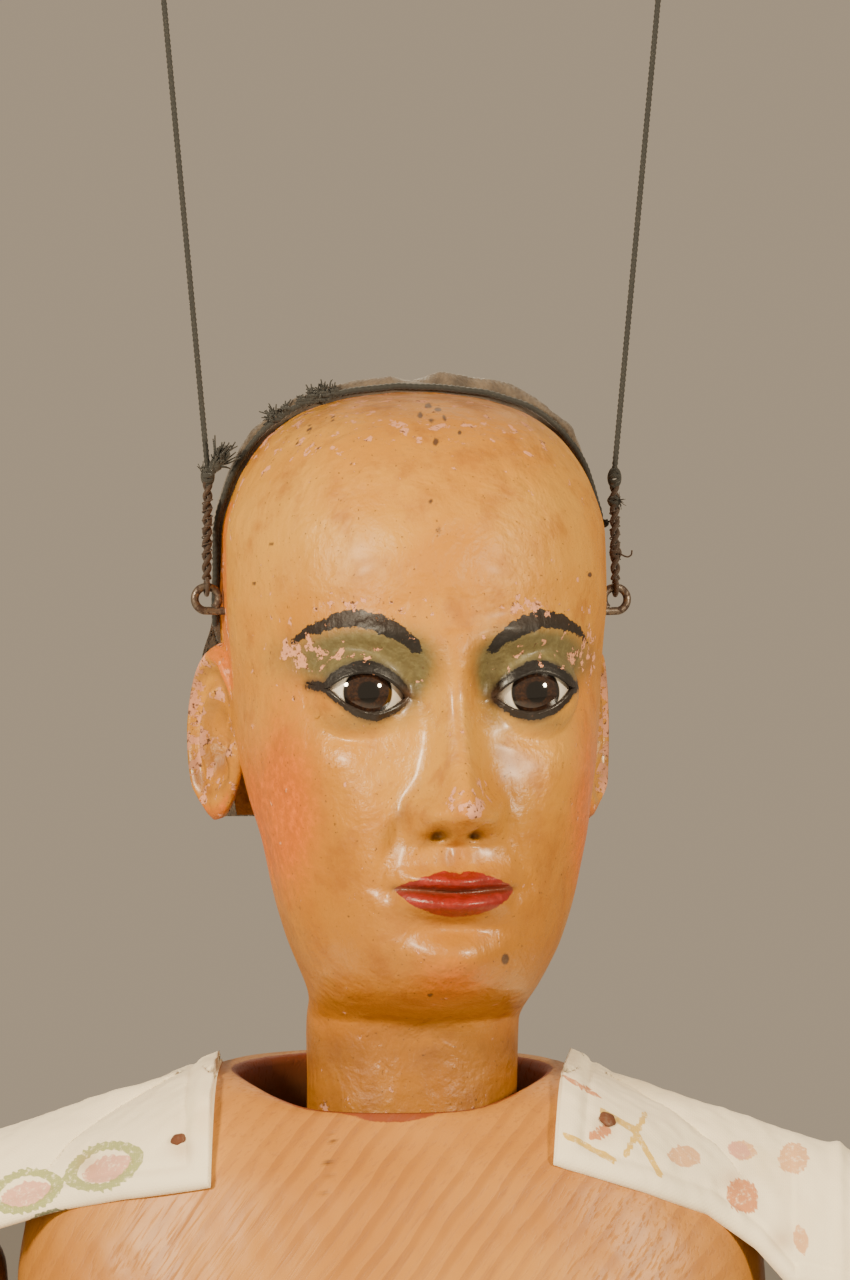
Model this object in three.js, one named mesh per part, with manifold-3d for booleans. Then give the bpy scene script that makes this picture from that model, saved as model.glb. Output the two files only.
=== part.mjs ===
// Marionette puppet: a carved wooden theatre figure that hangs on two head strings.
// Units are millimetres and +Z is up. The figure faces -Y, so its own left side is at +X.
// Heights are first measured from the wire of the two temple hooks (z = 0); the whole figure is
// then lowered so that the origin lies midway between the two tied loops that it hangs from.
import * as THREE from "three";
import { LoftGeometry } from "three/addons/geometries/LoftGeometry.js";
import { mergeVertices } from "three/addons/utils/BufferGeometryUtils.js";
import Module from "manifold-3d";

// ---- driving dimensions ----
const CLEARANCE = 0.3; // between two pieces that seat on each other
const RUNNING = 0.4; // around a pin or an eye that turns

// strings and temple hooks
const HANG_Z = 128; // hook wire up to the inside of the tied loops
const STRING_RADIUS = 0.55;
const STRING_TOP_X = 50.4; // half the spread of the two strings at their loops
const STRING_FOOT_X = 41.3;
const STRING_FOOT_Z = 22;
const LOOP_RADIUS = 3.2;
const KNOT_RADIUS = 1.7;
const LINK_RADIUS = 1.0;
const LINK_EYE_RADIUS = 1.6;
const LINK_EYE_WIRE = 0.45;
const HOOK_RADIUS = 2.4;
const HOOK_WIRE = 0.8;
const HOOK_X = 41.5;
const HOOK_SHANK = 14;

// head
const HEAD_TURN = 10; // degrees, towards the figure's left
const HEAD_WALL = 7;
const SEAM_Y = 6; // the glued joint between head front and back, at hook height
const SEAM_LEAN = 0.25; // how far the joint leans forward for each unit of height
const NAPE_Z = -46;
const NECK_RADIUS = 21.5;
const NECK_FOOT_Z = -126;
const EYE_RADIUS = 8.8;
const EYE_X = 16.4;
const EYE_Y = -37.5;
const EYE_Z = -20.8;
const LID_WIDTH = 15.4;
const LID_HEIGHT = 7.6;
const SETTING_LENGTH = 10;
const SETTING_LAP = 3; // how far the setting comes round the back of the ball
const EAR_X = 36.8;
const EAR_Y = 9;
const EAR_Z = -29;
const EAR_GAP_SPAN = 100; // the cap is cut out round the ears
const EAR_GAP_DEPTH = 26;
const EAR_GAP_HEIGHT = 44;
const CAP_THICKNESS = 1.3;
const CAP_CORD_RADIUS = 0.5;
const CAP_CORD_FOOT_Z = -8;

// screw eyes
const EYELET_RADIUS = 5;
const EYELET_WIRE = 1.3;
const EYELET_SHANK = 14;

// torso
const TORSO_X = -4; // the torso hangs a little to the figure's right of the neck
const TORSO_TILT = 0.07; // the top of the block falls towards the chest
const SOCKET_HALF_WIDTH = 30.5;
const SOCKET_HALF_DEPTH = 28.5;
const SOCKET_DEPTH = 50;
const TORSO_TOP = -97;
const TORSO_FOOT = -262;
const NECK_PIN_RADIUS = 2.5;
const NECK_PIN_LENGTH = 100;
const STRAP_THICKNESS = 1.9;
const STRAP_INNER_X = 34;
const STRAP_OUTER_X = 76;
const TACK_HEAD = 2;
const TACK_SHANK = 0.6;
const TACK_LENGTH = 8;

// arms
const ARM_X = 96;
const SHOULDER_Z = -138;
const UPPER_ARM_LENGTH = 127;
const FOREARM_LENGTH = 105;
const HAND_LENGTH = 75;
const FLAP_DEPTH = 30;

// pelvis and legs
const PELVIS_HEIGHT = 58;
const LEG_X = 25;
const THIGH_LENGTH = 190;
const SHIN_LENGTH = 190;
const SOLE_DROP = 40;
const FOOT_LENGTH = 76;
const KNEE_Y = -2;
const ANKLE_Y = 5;

// pin joints: cheek radius, tongue radius, tongue thickness, pin radius, depth of the shoulder below
const ELBOW = { cheek: 11, tongue: 8.5, thickness: 8, pin: 1.5, shoulder: 12 };
const WRIST = { cheek: 8, tongue: 6, thickness: 5, pin: 1, shoulder: 9 };
const KNEE = { cheek: 14, tongue: 11, thickness: 10, pin: 1.75, shoulder: 15 };
const ANKLE = { cheek: 10, tongue: 8, thickness: 7, pin: 1.5, shoulder: 11 };

const CORD_SIDES = 8;
const STRING_STEPS = 24;
const WIRE_SIDES = 8;
const WIRE_STEPS = 14;
const LIMB_SIDES = 16;
const PIN_SIDES = 16;
const BALL_SIDES = 14;

// ---- finishes ----
const finish = (color, roughness, metalness = 0) =>
  new THREE.MeshStandardMaterial({ color, roughness, metalness });
const FINISH = {
  skin: () => finish(0xdca566, 0.35),
  wood: () => finish(0xd6a36c, 0.7),
  darkWood: () => finish(0x5a3a22, 0.6),
  cloth: () => finish(0xf3e6cc, 0.9),
  cap: () => finish(0x6e5c4b, 0.95),
  cord: () => finish(0x23241f, 0.8),
  wire: () => finish(0x4a3c32, 0.45, 0.9),
  tack: () => finish(0x6b3f25, 0.6, 0.7),
  glass: () => finish(0x2a1a12, 0.05),
  putty: () => finish(0xc9b79a, 0.9),
  shoe: () => finish(0x2c211b, 0.4),
};

// ---- tools ----
const wasm = await Module();
wasm.setup();
const FAR = 500;

/** A closed geometry as a manifold-3d solid. */
function solid(geometry) {
  const bare = new THREE.BufferGeometry().setIndex(geometry.index);
  bare.setAttribute("position", geometry.getAttribute("position"));
  const merged = mergeVertices(bare, 1e-4);
  return new wasm.Manifold(
    new wasm.Mesh({
      numProp: 3,
      vertProperties: new Float32Array(merged.attributes.position.array),
      triVerts: new Uint32Array(merged.index.array),
    }),
  );
}

/** A manifold-3d solid as a geometry. */
function geometryOf(body) {
  const mesh = body.getMesh();
  const geometry = new THREE.BufferGeometry();
  geometry.setAttribute("position", new THREE.BufferAttribute(mesh.vertProperties, 3));
  geometry.setIndex(new THREE.BufferAttribute(mesh.triVerts, 1));
  geometry.computeVertexNormals();
  return geometry;
}

/** A flat closed ring of points: an ellipse squared off by its power. */
function ring(z, halfWidth, halfDepth, y, sides, { power = 2, tilt = 0 } = {}) {
  const bend = (value) => Math.sign(value) * Math.abs(value) ** (2 / power);
  return Array.from({ length: sides }, (_, i) => {
    const angle = (2 * Math.PI * i) / sides;
    const dy = halfDepth * bend(Math.sin(angle));
    return new THREE.Vector3(halfWidth * bend(Math.cos(angle)), y + dy, z + tilt * (y + dy));
  });
}

/** A closed body through rings [z, half width, half depth, centre y], listed from the bottom up. */
function loft(rows, sides = LIMB_SIDES, options = {}) {
  const sections = rows.map(([z, width, depth, y = 0]) => ring(z, width, depth, y, sides, options));
  return new LoftGeometry(sections, { capStart: true, capEnd: true });
}

/** A bar along X, centred on a point. */
function crossBar(radius, length, x, y, z, sides = WIRE_SIDES) {
  return new THREE.CylinderGeometry(radius, radius, length, sides)
    .rotateZ(Math.PI / 2)
    .translate(x, y, z);
}

/** A bar along Z between two heights. */
function upright(radius, low, high, x, y, sides = WIRE_SIDES) {
  return new THREE.CylinderGeometry(radius, radius, high - low, sides)
    .rotateX(Math.PI / 2)
    .translate(x, y, (low + high) / 2);
}

/** A box given by its centre and its three sizes. */
function block(width, depth, height, x, y, z) {
  return new THREE.BoxGeometry(width, depth, height).translate(x, y, z);
}

/** A closed tube along a path. */
function tube(path, radius, steps, sides) {
  const section = new THREE.Shape(
    Array.from({ length: sides }, (_, i) => {
      const angle = (2 * Math.PI * i) / sides;
      return new THREE.Vector2(radius * Math.cos(angle), radius * Math.sin(angle));
    }),
  );
  return new THREE.ExtrudeGeometry(section, { steps, extrudePath: path, bevelEnabled: false });
}

/** A named mesh of a geometry or a solid. */
function piece(name, shape, material) {
  const geometry = shape.isBufferGeometry ? shape : geometryOf(shape);
  const mesh = new THREE.Mesh(geometry, material);
  mesh.name = name;
  return mesh;
}

const SIDES = [
  ["right", -1],
  ["left", 1],
];

// ---- strings, knots, links ----
function makeStrings(group) {
  for (const [side, sign] of SIDES) {
    const foot = new THREE.Vector3(sign * STRING_FOOT_X, 0, STRING_FOOT_Z + KNOT_RADIUS + CLEARANCE);
    const loopZ = HANG_Z - LOOP_RADIUS + STRING_RADIUS * 2;
    const topKnotZ = loopZ - LOOP_RADIUS - KNOT_RADIUS;
    const top = new THREE.Vector3(sign * STRING_TOP_X, 0, topKnotZ - KNOT_RADIUS - CLEARANCE);
    const path = new THREE.LineCurve3(foot, top);
    group.add(piece(`string_${side}`, tube(path, STRING_RADIUS, STRING_STEPS, CORD_SIDES), FINISH.cord()));

    const loop = solid(
      new THREE.TorusGeometry(LOOP_RADIUS, STRING_RADIUS, 6, WIRE_STEPS)
        .rotateX(Math.PI / 2)
        .translate(sign * STRING_TOP_X, 0, loopZ),
    ).add(
      solid(
        new THREE.SphereGeometry(KNOT_RADIUS, 8, 6).translate(sign * STRING_TOP_X, 0, topKnotZ),
      ),
    );
    group.add(piece(`string_loop_${side}`, loop, FINISH.cord()));

    const knot = new THREE.SphereGeometry(KNOT_RADIUS, 8, 6).translate(
      sign * STRING_FOOT_X,
      0,
      STRING_FOOT_Z,
    );
    group.add(piece(`string_knot_${side}`, knot, FINISH.cord()));

    const linkTop = STRING_FOOT_Z - KNOT_RADIUS - CLEARANCE;
    const link = solid(
      new THREE.TorusGeometry(LINK_EYE_RADIUS, LINK_EYE_WIRE, 6, 12)
        .rotateY(Math.PI / 2)
        .translate(sign * HOOK_X, 0, 0),
    ).add(solid(upright(LINK_RADIUS, LINK_EYE_RADIUS, linkTop, sign * HOOK_X, 0)));
    group.add(piece(`hook_link_${side}`, link, FINISH.wire()));
  }
}

// ---- head ----
// [z, half width, front y, back y] of the bare skull and jaw, bottom up
const SKULL_ROWS = [
  [-85, 9, -43, -27],
  [-81.5, 16, -47, -18],
  [-75, 21, -49, -6],
  [-64, 26, -49, 8],
  [-52, 30, -48.5, 22],
  [-40, 33, -48.5, 33],
  [-28, 35.5, -47.5, 41],
  [-14, 37, -48.5, 46],
  [-2, 38, -48.5, 48],
  [10, 38, -46, 47.5],
  [20, 35.5, -41, 43.5],
  [28, 31, -33.5, 37],
  [34, 24, -24.5, 28],
  [37.5, 14, -14, 17],
  [38.8, 4, -4, 6],
];
const SKULL_POWER = 2.2;
const SKULL_SIDES = 28;
const SKULL_TOP = SKULL_ROWS.at(-1)[0];
const SKULL_FOOT = SKULL_ROWS[0][0];
const SKULL_MIDDLE = (SKULL_TOP + SKULL_FOOT) / 2;

/** The skull's rows moved outwards by an offset, as loft rows. */
function skullRows(offset) {
  const half = (SKULL_TOP - SKULL_FOOT) / 2;
  return SKULL_ROWS.map(([z, width, front, back]) => [
    z + (offset * (z - SKULL_MIDDLE)) / half,
    width + offset,
    (back - front) / 2 + offset,
    (back + front) / 2,
  ]);
}

const skull = (offset) =>
  solid(loft(skullRows(offset), SKULL_SIDES, { power: SKULL_POWER }));

/** Everything behind the glued joint, kept a distance clear of it. */
function behindSeam(gap) {
  return solid(
    block(FAR, FAR, FAR, 0, FAR / 2 + gap, 0)
      .rotateX(Math.atan(SEAM_LEAN))
      .translate(0, SEAM_Y, 0),
  ).intersect(solid(block(FAR, FAR, FAR, 0, 0, FAR / 2 + NAPE_Z + gap)));
}

/** The skull's half width at a height, on the plane of the glued joint. */
function widthAtSeam(z, offset) {
  const rows = skullRows(offset);
  const next = rows.findIndex((row) => row[0] >= z);
  if (next < 1) return next === 0 ? rows[0][1] : 0;
  const t = (z - rows[next - 1][0]) / (rows[next][0] - rows[next - 1][0]);
  const [, width, depth, y] = rows[next].map((v, i) => rows[next - 1][i] * (1 - t) + v * t);
  const reach = Math.abs((SEAM_Y - SEAM_LEAN * z - y) / depth);
  return reach >= 1 ? 0 : width * (1 - reach ** SKULL_POWER) ** (1 / SKULL_POWER);
}

class SeamCurve extends THREE.Curve {
  constructor(offset, foot, forward) {
    super();
    Object.assign(this, { offset, foot, forward });
    this.top = SKULL_TOP + offset;
    while (widthAtSeam(this.top, offset) === 0) this.top -= 0.05;
  }
  getPoint(t) {
    const s = 2 * t - 1;
    const z = this.top - (this.top - this.foot) * s * s;
    return new THREE.Vector3(
      Math.sign(s) * widthAtSeam(z, this.offset),
      SEAM_Y - SEAM_LEAN * z - this.forward,
      z,
    );
  }
}

/** The almond opening between the lids, as a prism through the face. */
function lidOpening(x) {
  const half = LID_WIDTH / 2;
  const rise = LID_HEIGHT / 2;
  const almond = new THREE.Shape();
  almond.moveTo(-half, 0);
  almond.quadraticCurveTo(0, -2 * rise, half, 0);
  almond.quadraticCurveTo(0, 2 * rise, -half, 0);
  return solid(
    new THREE.ExtrudeGeometry(almond, { depth: 30, bevelEnabled: false, curveSegments: 6 })
      .rotateX(Math.PI / 2)
      .translate(x, EYE_Y, EYE_Z),
  );
}

/** An ear, moved outwards by an offset. */
function ear(sign, offset) {
  return new THREE.SphereGeometry(1, 12, 8)
    .scale(3.6 + offset, 9 + offset, 17.5 + offset)
    .rotateX(0.15)
    .rotateZ(-sign * 0.35)
    .translate(sign * EAR_X, EAR_Y, EAR_Z);
}

/** A screw hook: an open ring and a shank that runs into the temple. */
function hookCurve(sign) {
  const path = new THREE.CurvePath();
  const arc = new THREE.CatmullRomCurve3(
    Array.from({ length: 14 }, (_, i) => {
      const angle = THREE.MathUtils.degToRad(50 + (220 * i) / 13);
      return new THREE.Vector3(
        sign * (HOOK_X - HOOK_RADIUS * Math.cos(angle)),
        0,
        HOOK_RADIUS * (Math.sin(angle) - 1),
      );
    }),
  );
  const foot = new THREE.Vector3(sign * HOOK_X, 0, -2 * HOOK_RADIUS);
  path.add(arc);
  path.add(new THREE.LineCurve3(foot, foot.clone().setX(sign * (HOOK_X - HOOK_SHANK))));
  return path;
}

function makeHead(group) {
  const hollow = skull(-HEAD_WALL)
    .intersect(solid(block(FAR, FAR, FAR, 0, 0, FAR / 2 + NAPE_Z + HEAD_WALL)))
    .intersect(solid(block(FAR, FAR, FAR, 0, FAR / 2 + EYE_Y + EYE_RADIUS + CLEARANCE, 0)));
  const neck = loft(
    [
      [NECK_FOOT_Z, NECK_RADIUS - 2.5, NECK_RADIUS - 2.5],
      [NECK_FOOT_Z + 3, NECK_RADIUS - 0.6, NECK_RADIUS - 0.6],
      [-100, NECK_RADIUS - 0.5, NECK_RADIUS - 0.5],
      [-84, NECK_RADIUS + 0.4, NECK_RADIUS + 0.4, 0],
      [-66, NECK_RADIUS + 3, NECK_RADIUS + 3, 1],
      [-52, NECK_RADIUS + 2, NECK_RADIUS + 4, 2],
    ],
    20,
  );
  const nose = loft(
    [
      [-48, 5, 3, -50],
      [-45, 8, 7, -52],
      [-40, 6.5, 7.5, -51.5],
      [-28, 4.2, 5.5, -49],
      [-14, 4, 3, -47.5],
    ],
    10,
  );
  const lips = loft(
    [
      [-64, 5, 1.5, -48.5],
      [-62, 9, 3, -48.5],
      [-59, 12, 3.4, -48],
      [-56, 8, 3, -48.5],
      [-54.5, 4, 1.5, -48.5],
    ],
    10,
  );
  const carved = skull(0).add(solid(neck)).add(solid(nose)).add(solid(lips));
  const neckBore = upright(
    EYELET_WIRE + RUNNING,
    NECK_FOOT_Z - 1,
    NECK_FOOT_Z + EYELET_SHANK + 2,
    0,
    0,
  );
  let back = carved.intersect(behindSeam(CLEARANCE / 2)).subtract(hollow);
  let front = carved.subtract(behindSeam(-CLEARANCE / 2)).subtract(hollow);
  front = front.subtract(solid(neckBore));
  for (const [, sign] of SIDES) {
    front = front.add(solid(ear(sign, 0)));
    back = back.subtract(solid(ear(sign, CLEARANCE)));
  }

  for (const [side, sign] of SIDES) {
    const x = sign * EYE_X;
    const ball = new THREE.SphereGeometry(EYE_RADIUS, BALL_SIDES, 10).translate(x, EYE_Y, EYE_Z);
    const room = new THREE.SphereGeometry(EYE_RADIUS + 2 * CLEARANCE, BALL_SIDES, 10);
    const roomSolid = solid(room.translate(x, EYE_Y, EYE_Z));
    const bore = new THREE.CylinderGeometry(
      EYE_RADIUS + CLEARANCE,
      EYE_RADIUS + CLEARANCE,
      2 * EYE_RADIUS + SETTING_LENGTH,
      BALL_SIDES,
    ).translate(x, EYE_Y + EYE_RADIUS + SETTING_LENGTH / 2, EYE_Z);
    const setting = new THREE.CylinderGeometry(EYE_RADIUS, EYE_RADIUS, SETTING_LENGTH, BALL_SIDES).translate(
      x,
      EYE_Y + EYE_RADIUS - SETTING_LAP + SETTING_LENGTH / 2,
      EYE_Z,
    );
    front = front.subtract(roomSolid).subtract(solid(bore)).subtract(lidOpening(x));
    group.add(piece(`glass_eye_${side}`, ball, FINISH.glass()));
    group.add(piece(`eye_setting_${side}`, solid(setting).subtract(roomSolid), FINISH.putty()));

    const path = hookCurve(sign);
    const shankRoom = solid(
      crossBar(HOOK_WIRE + CLEARANCE, HOOK_SHANK * 2, sign * (HOOK_X - HOOK_SHANK), 0, -2 * HOOK_RADIUS),
    );
    front = front.subtract(shankRoom);
    group.add(piece(`temple_hook_${side}`, tube(path, HOOK_WIRE, 22, CORD_SIDES), FINISH.wire()));
  }
  group.add(piece("head_front", front, FINISH.skin()));
  group.add(piece("head_back", back, FINISH.skin()));

  const earGap = block(EAR_GAP_SPAN, EAR_GAP_DEPTH, EAR_GAP_HEIGHT, 0, EAR_Y + 1, EAR_Z - 1);
  const cap = skull(CLEARANCE + CAP_THICKNESS)
    .subtract(skull(CLEARANCE))
    .subtract(solid(earGap))
    .intersect(behindSeam(CAP_CORD_RADIUS + CLEARANCE));
  group.add(piece("cap_cloth", cap, FINISH.cap()));
  const edge = new SeamCurve(CLEARANCE + CAP_CORD_RADIUS + 0.3, CAP_CORD_FOOT_Z, 0);
  group.add(piece("cap_edge_cord", tube(edge, CAP_CORD_RADIUS, 44, 6), FINISH.cord()));
}

// ---- screw eyes ----
/** A screw eye with its ring centred at a height; its shank points up or down. */
function screwEye(x, y, z, shank, { facing = "x" } = {}) {
  const hoop = new THREE.TorusGeometry(EYELET_RADIUS, EYELET_WIRE, 6, WIRE_STEPS).rotateX(Math.PI / 2);
  if (facing === "x") hoop.rotateZ(Math.PI / 2);
  const inner = z + Math.sign(shank) * EYELET_RADIUS;
  const outer = inner + shank;
  const stem = upright(EYELET_WIRE, Math.min(inner, outer), Math.max(inner, outer), x, y);
  return solid(hoop.translate(x, y, z)).add(solid(stem));
}

/** The bore that a screw eye's shank sits in, above or below a face. */
function eyeBore(x, y, face, shank) {
  const deep = face + shank + Math.sign(shank);
  const out = face - Math.sign(shank) * 2;
  return solid(upright(EYELET_WIRE + CLEARANCE, Math.min(deep, out), Math.max(deep, out), x, y));
}

const EYE_STEP = 2 * EYELET_RADIUS - 2 * EYELET_WIRE - RUNNING; // ring centre down to ring centre
const upperEyeZ = (face) => face - EYELET_RADIUS - EYELET_WIRE - CLEARANCE;
const lowerEyeZ = (face) => upperEyeZ(face) - EYE_STEP;
const eyeHingeZ = (face) => upperEyeZ(face) - EYELET_RADIUS;
const lowerFaceZ = (face) => lowerEyeZ(face) - EYELET_RADIUS - EYELET_WIRE - CLEARANCE;

// ---- torso ----
const TORSO_SIDES = 32;
const TORSO_ROWS = [
  [TORSO_FOOT, 50, 31],
  [TORSO_FOOT + 4, 53, 34],
  [-236, 54, 36],
  [-206, 61, 40],
  [-176, 71, 43],
  [-152, 76.5, 43.5],
  [-136, 78, 42],
  [-124, 77.5, 40, 0.5],
  [-115, 74.5, 38, 1],
  [-108, 67, 36, 1.5],
  [-102, 55, 34, 2],
  [TORSO_TOP, 39, 32.5, 2],
];
const NECK_RING_Z = NECK_FOOT_Z - EYELET_RADIUS - EYELET_WIRE - 1.7;
const NECK_PIN_Z = NECK_RING_Z - (EYELET_RADIUS - EYELET_WIRE - NECK_PIN_RADIUS - RUNNING);

/** The torso block moved outwards by an offset. */
function torsoBlock(offset) {
  const rows = TORSO_ROWS.map(([z, width, depth, y = 0], i) => {
    const lift = i === 0 ? -offset : i > 6 ? offset : 0;
    return [z + lift, width + offset, depth + offset, y];
  });
  return solid(loft(rows, TORSO_SIDES, { power: 2.5, tilt: TORSO_TILT })).translate(TORSO_X, 0, 0);
}

/** The part of the shoulder that a strap covers, seen from above. */
function strapRegion(sign) {
  const outline = new THREE.Shape([
    new THREE.Vector2(STRAP_INNER_X, -33),
    new THREE.Vector2(STRAP_OUTER_X, -60),
    new THREE.Vector2(STRAP_OUTER_X, 40),
    new THREE.Vector2(STRAP_INNER_X, 26),
  ]);
  const prism = new THREE.ExtrudeGeometry(outline, { depth: 60, bevelEnabled: false });
  const region = solid(prism.translate(0, 0, -135));
  return (sign < 0 ? region.mirror([1, 0, 0]) : region).translate(TORSO_X, 0, 0);
}

/** Where each tack stands: the strap's side, and its place seen from the front. */
const TACKS = [
  ["right", "inner", -45, -110],
  ["right", "outer", -64, -114],
  ["left", "inner", 37.6, -106],
  ["left", "middle", 62, -117.5],
  ["left", "outer", 69, -127],
];

/** A tack whose head rests on the strap, pointing into the block. */
function tack(point, normal, grow) {
  const along = new THREE.Vector3(0, 1, 0);
  const profile = [
    [0, -TACK_LENGTH],
    [TACK_SHANK + grow, -TACK_LENGTH + 1],
    [TACK_SHANK + grow, CLEARANCE],
    [TACK_HEAD, CLEARANCE],
    [TACK_HEAD * 0.8, CLEARANCE + 0.7],
    [0, CLEARANCE + 1.1],
  ].map(([r, h]) => new THREE.Vector2(r, h));
  return new THREE.LatheGeometry(profile, 10)
    .applyQuaternion(new THREE.Quaternion().setFromUnitVectors(along, normal))
    .translate(point.x, point.y, point.z);
}

/** The front surface point of a solid at a place seen from the front. */
function frontPoint(body, x, z) {
  const target = new THREE.Mesh(geometryOf(body));
  const ray = new THREE.Raycaster(new THREE.Vector3(x, -FAR, z), new THREE.Vector3(0, 1, 0));
  const [hit] = ray.intersectObject(target);
  return { point: hit.point, normal: hit.face.normal.clone() };
}

function makeTorso(group) {
  const socket = solid(
    loft(
      [
        [TORSO_TOP - SOCKET_DEPTH, SOCKET_HALF_WIDTH - 5, SOCKET_HALF_DEPTH - 4],
        [TORSO_TOP - SOCKET_DEPTH + 5, SOCKET_HALF_WIDTH - 1, SOCKET_HALF_DEPTH - 1],
        [TORSO_TOP + 20, SOCKET_HALF_WIDTH, SOCKET_HALF_DEPTH],
      ],
      24,
    ).translate(TORSO_X, 0, 0),
  );
  const pinX = TORSO_X;
  const pinBore = solid(
    crossBar(NECK_PIN_RADIUS + CLEARANCE, 140, pinX + NECK_PIN_LENGTH / 2 - 69, 0, NECK_PIN_Z),
  );
  let torso = torsoBlock(0)
    .subtract(socket)
    .subtract(pinBore)
    .subtract(eyeBore(TORSO_X, 0, TORSO_FOOT, EYELET_SHANK));
  const straps = {};
  const outer = torsoBlock(CLEARANCE + STRAP_THICKNESS);
  for (const [side, sign] of SIDES)
    straps[side] = outer
      .subtract(torsoBlock(CLEARANCE))
      .intersect(strapRegion(sign));
  for (const [side, place, x, z] of TACKS) {
    const { point, normal } = frontPoint(outer, x, z);
    const hole = solid(tack(point, normal, CLEARANCE));
    torso = torso.subtract(hole);
    straps[side] = straps[side].subtract(hole);
    group.add(piece(`strap_tack_${side}_${place}`, tack(point, normal, 0), FINISH.tack()));
  }
  for (const [side] of SIDES)
    group.add(piece(`shoulder_strap_${side}`, straps[side], FINISH.cloth()));
  group.add(piece("torso", torso, FINISH.wood()));
  group.add(
    piece("neck_pin", crossBar(NECK_PIN_RADIUS, NECK_PIN_LENGTH, pinX, 0, NECK_PIN_Z, 14), FINISH.wire()),
  );
  const neckEye = screwEye(0, 0, NECK_RING_Z, EYELET_SHANK);
  group.add(piece("neck_eye", neckEye, FINISH.wire()));
  const waistEye = screwEye(TORSO_X, 0, upperEyeZ(TORSO_FOOT), EYELET_SHANK, { facing: "y" });
  group.add(piece("waist_eye_upper", waistEye, FINISH.wire()));
}

// ---- pin joints ----
/** Cuts the slot and the pin bore of a joint into the upper piece and rounds its end. */
function forkEnd(body, size, halfWidth, x, y, z) {
  const cheeks = solid(crossBar(size.cheek, 2 * halfWidth, x, y, z, PIN_SIDES));
  const top = size.tongue + RUNNING;
  const low = size.cheek + 2;
  const slot = block(size.thickness + 2 * RUNNING, FAR, top + low, x, y, z + (top - low) / 2);
  return body
    .add(cheeks)
    .subtract(solid(slot))
    .subtract(solid(crossBar(size.pin + CLEARANCE, FAR, x, y, z)));
}

/** Adds the tongue of a joint to the lower piece and bores it for the pin. */
function tongueEnd(body, size, x, y, z) {
  const disc = solid(crossBar(size.tongue, size.thickness, x, y, z, PIN_SIDES));
  const drop = size.shoulder + 3;
  const stem = solid(block(size.thickness, 1.5 * size.tongue, drop, x, y, z - drop / 2));
  return body
    .add(disc)
    .add(stem)
    .subtract(solid(crossBar(size.pin + CLEARANCE, FAR, x, y, z)));
}

/** The slope that lets a limb fold: everything behind it (sign +1) or before it (sign -1). */
function foldSlope(size, x, y, z, sign) {
  const wedge = block(FAR, FAR, FAR, 0, 0, FAR / 2)
    .rotateX((sign * Math.PI) / 4)
    .translate(x, y + sign, z - size.shoulder);
  return solid(wedge).subtract(solid(block(2 * FAR, 2 * FAR, 2 * FAR, x, y + sign - sign * FAR, z)));
}

const jointPin = (size, halfWidth, x, y, z) => crossBar(size.pin, 2 * halfWidth, x, y, z);

// ---- arms ----
const ELBOW_Z = SHOULDER_Z - UPPER_ARM_LENGTH;
const WRIST_Z = ELBOW_Z - FOREARM_LENGTH;
const ELBOW_HALF_WIDTH = 11.5;
const WRIST_HALF_WIDTH = 8;

/** The upper arm's plain shape moved outwards by an offset. */
function upperArmShape(offset) {
  const rows = [
    [ELBOW_Z, ELBOW_HALF_WIDTH, 11],
    [ELBOW_Z + 30, 13, 13],
    [SHOULDER_Z - 40, 14.5, 15.5],
    [SHOULDER_Z - 10, 15, 16],
    [SHOULDER_Z + 4, 14.5, 15],
    [SHOULDER_Z + 11, 11, 11],
    [SHOULDER_Z + 14, 5, 5],
  ];
  const grown = rows.map(([z, width, depth], i) => [
    z + (i > 3 ? offset : 0),
    width + offset,
    depth + offset,
  ]);
  return solid(loft(grown));
}

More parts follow.
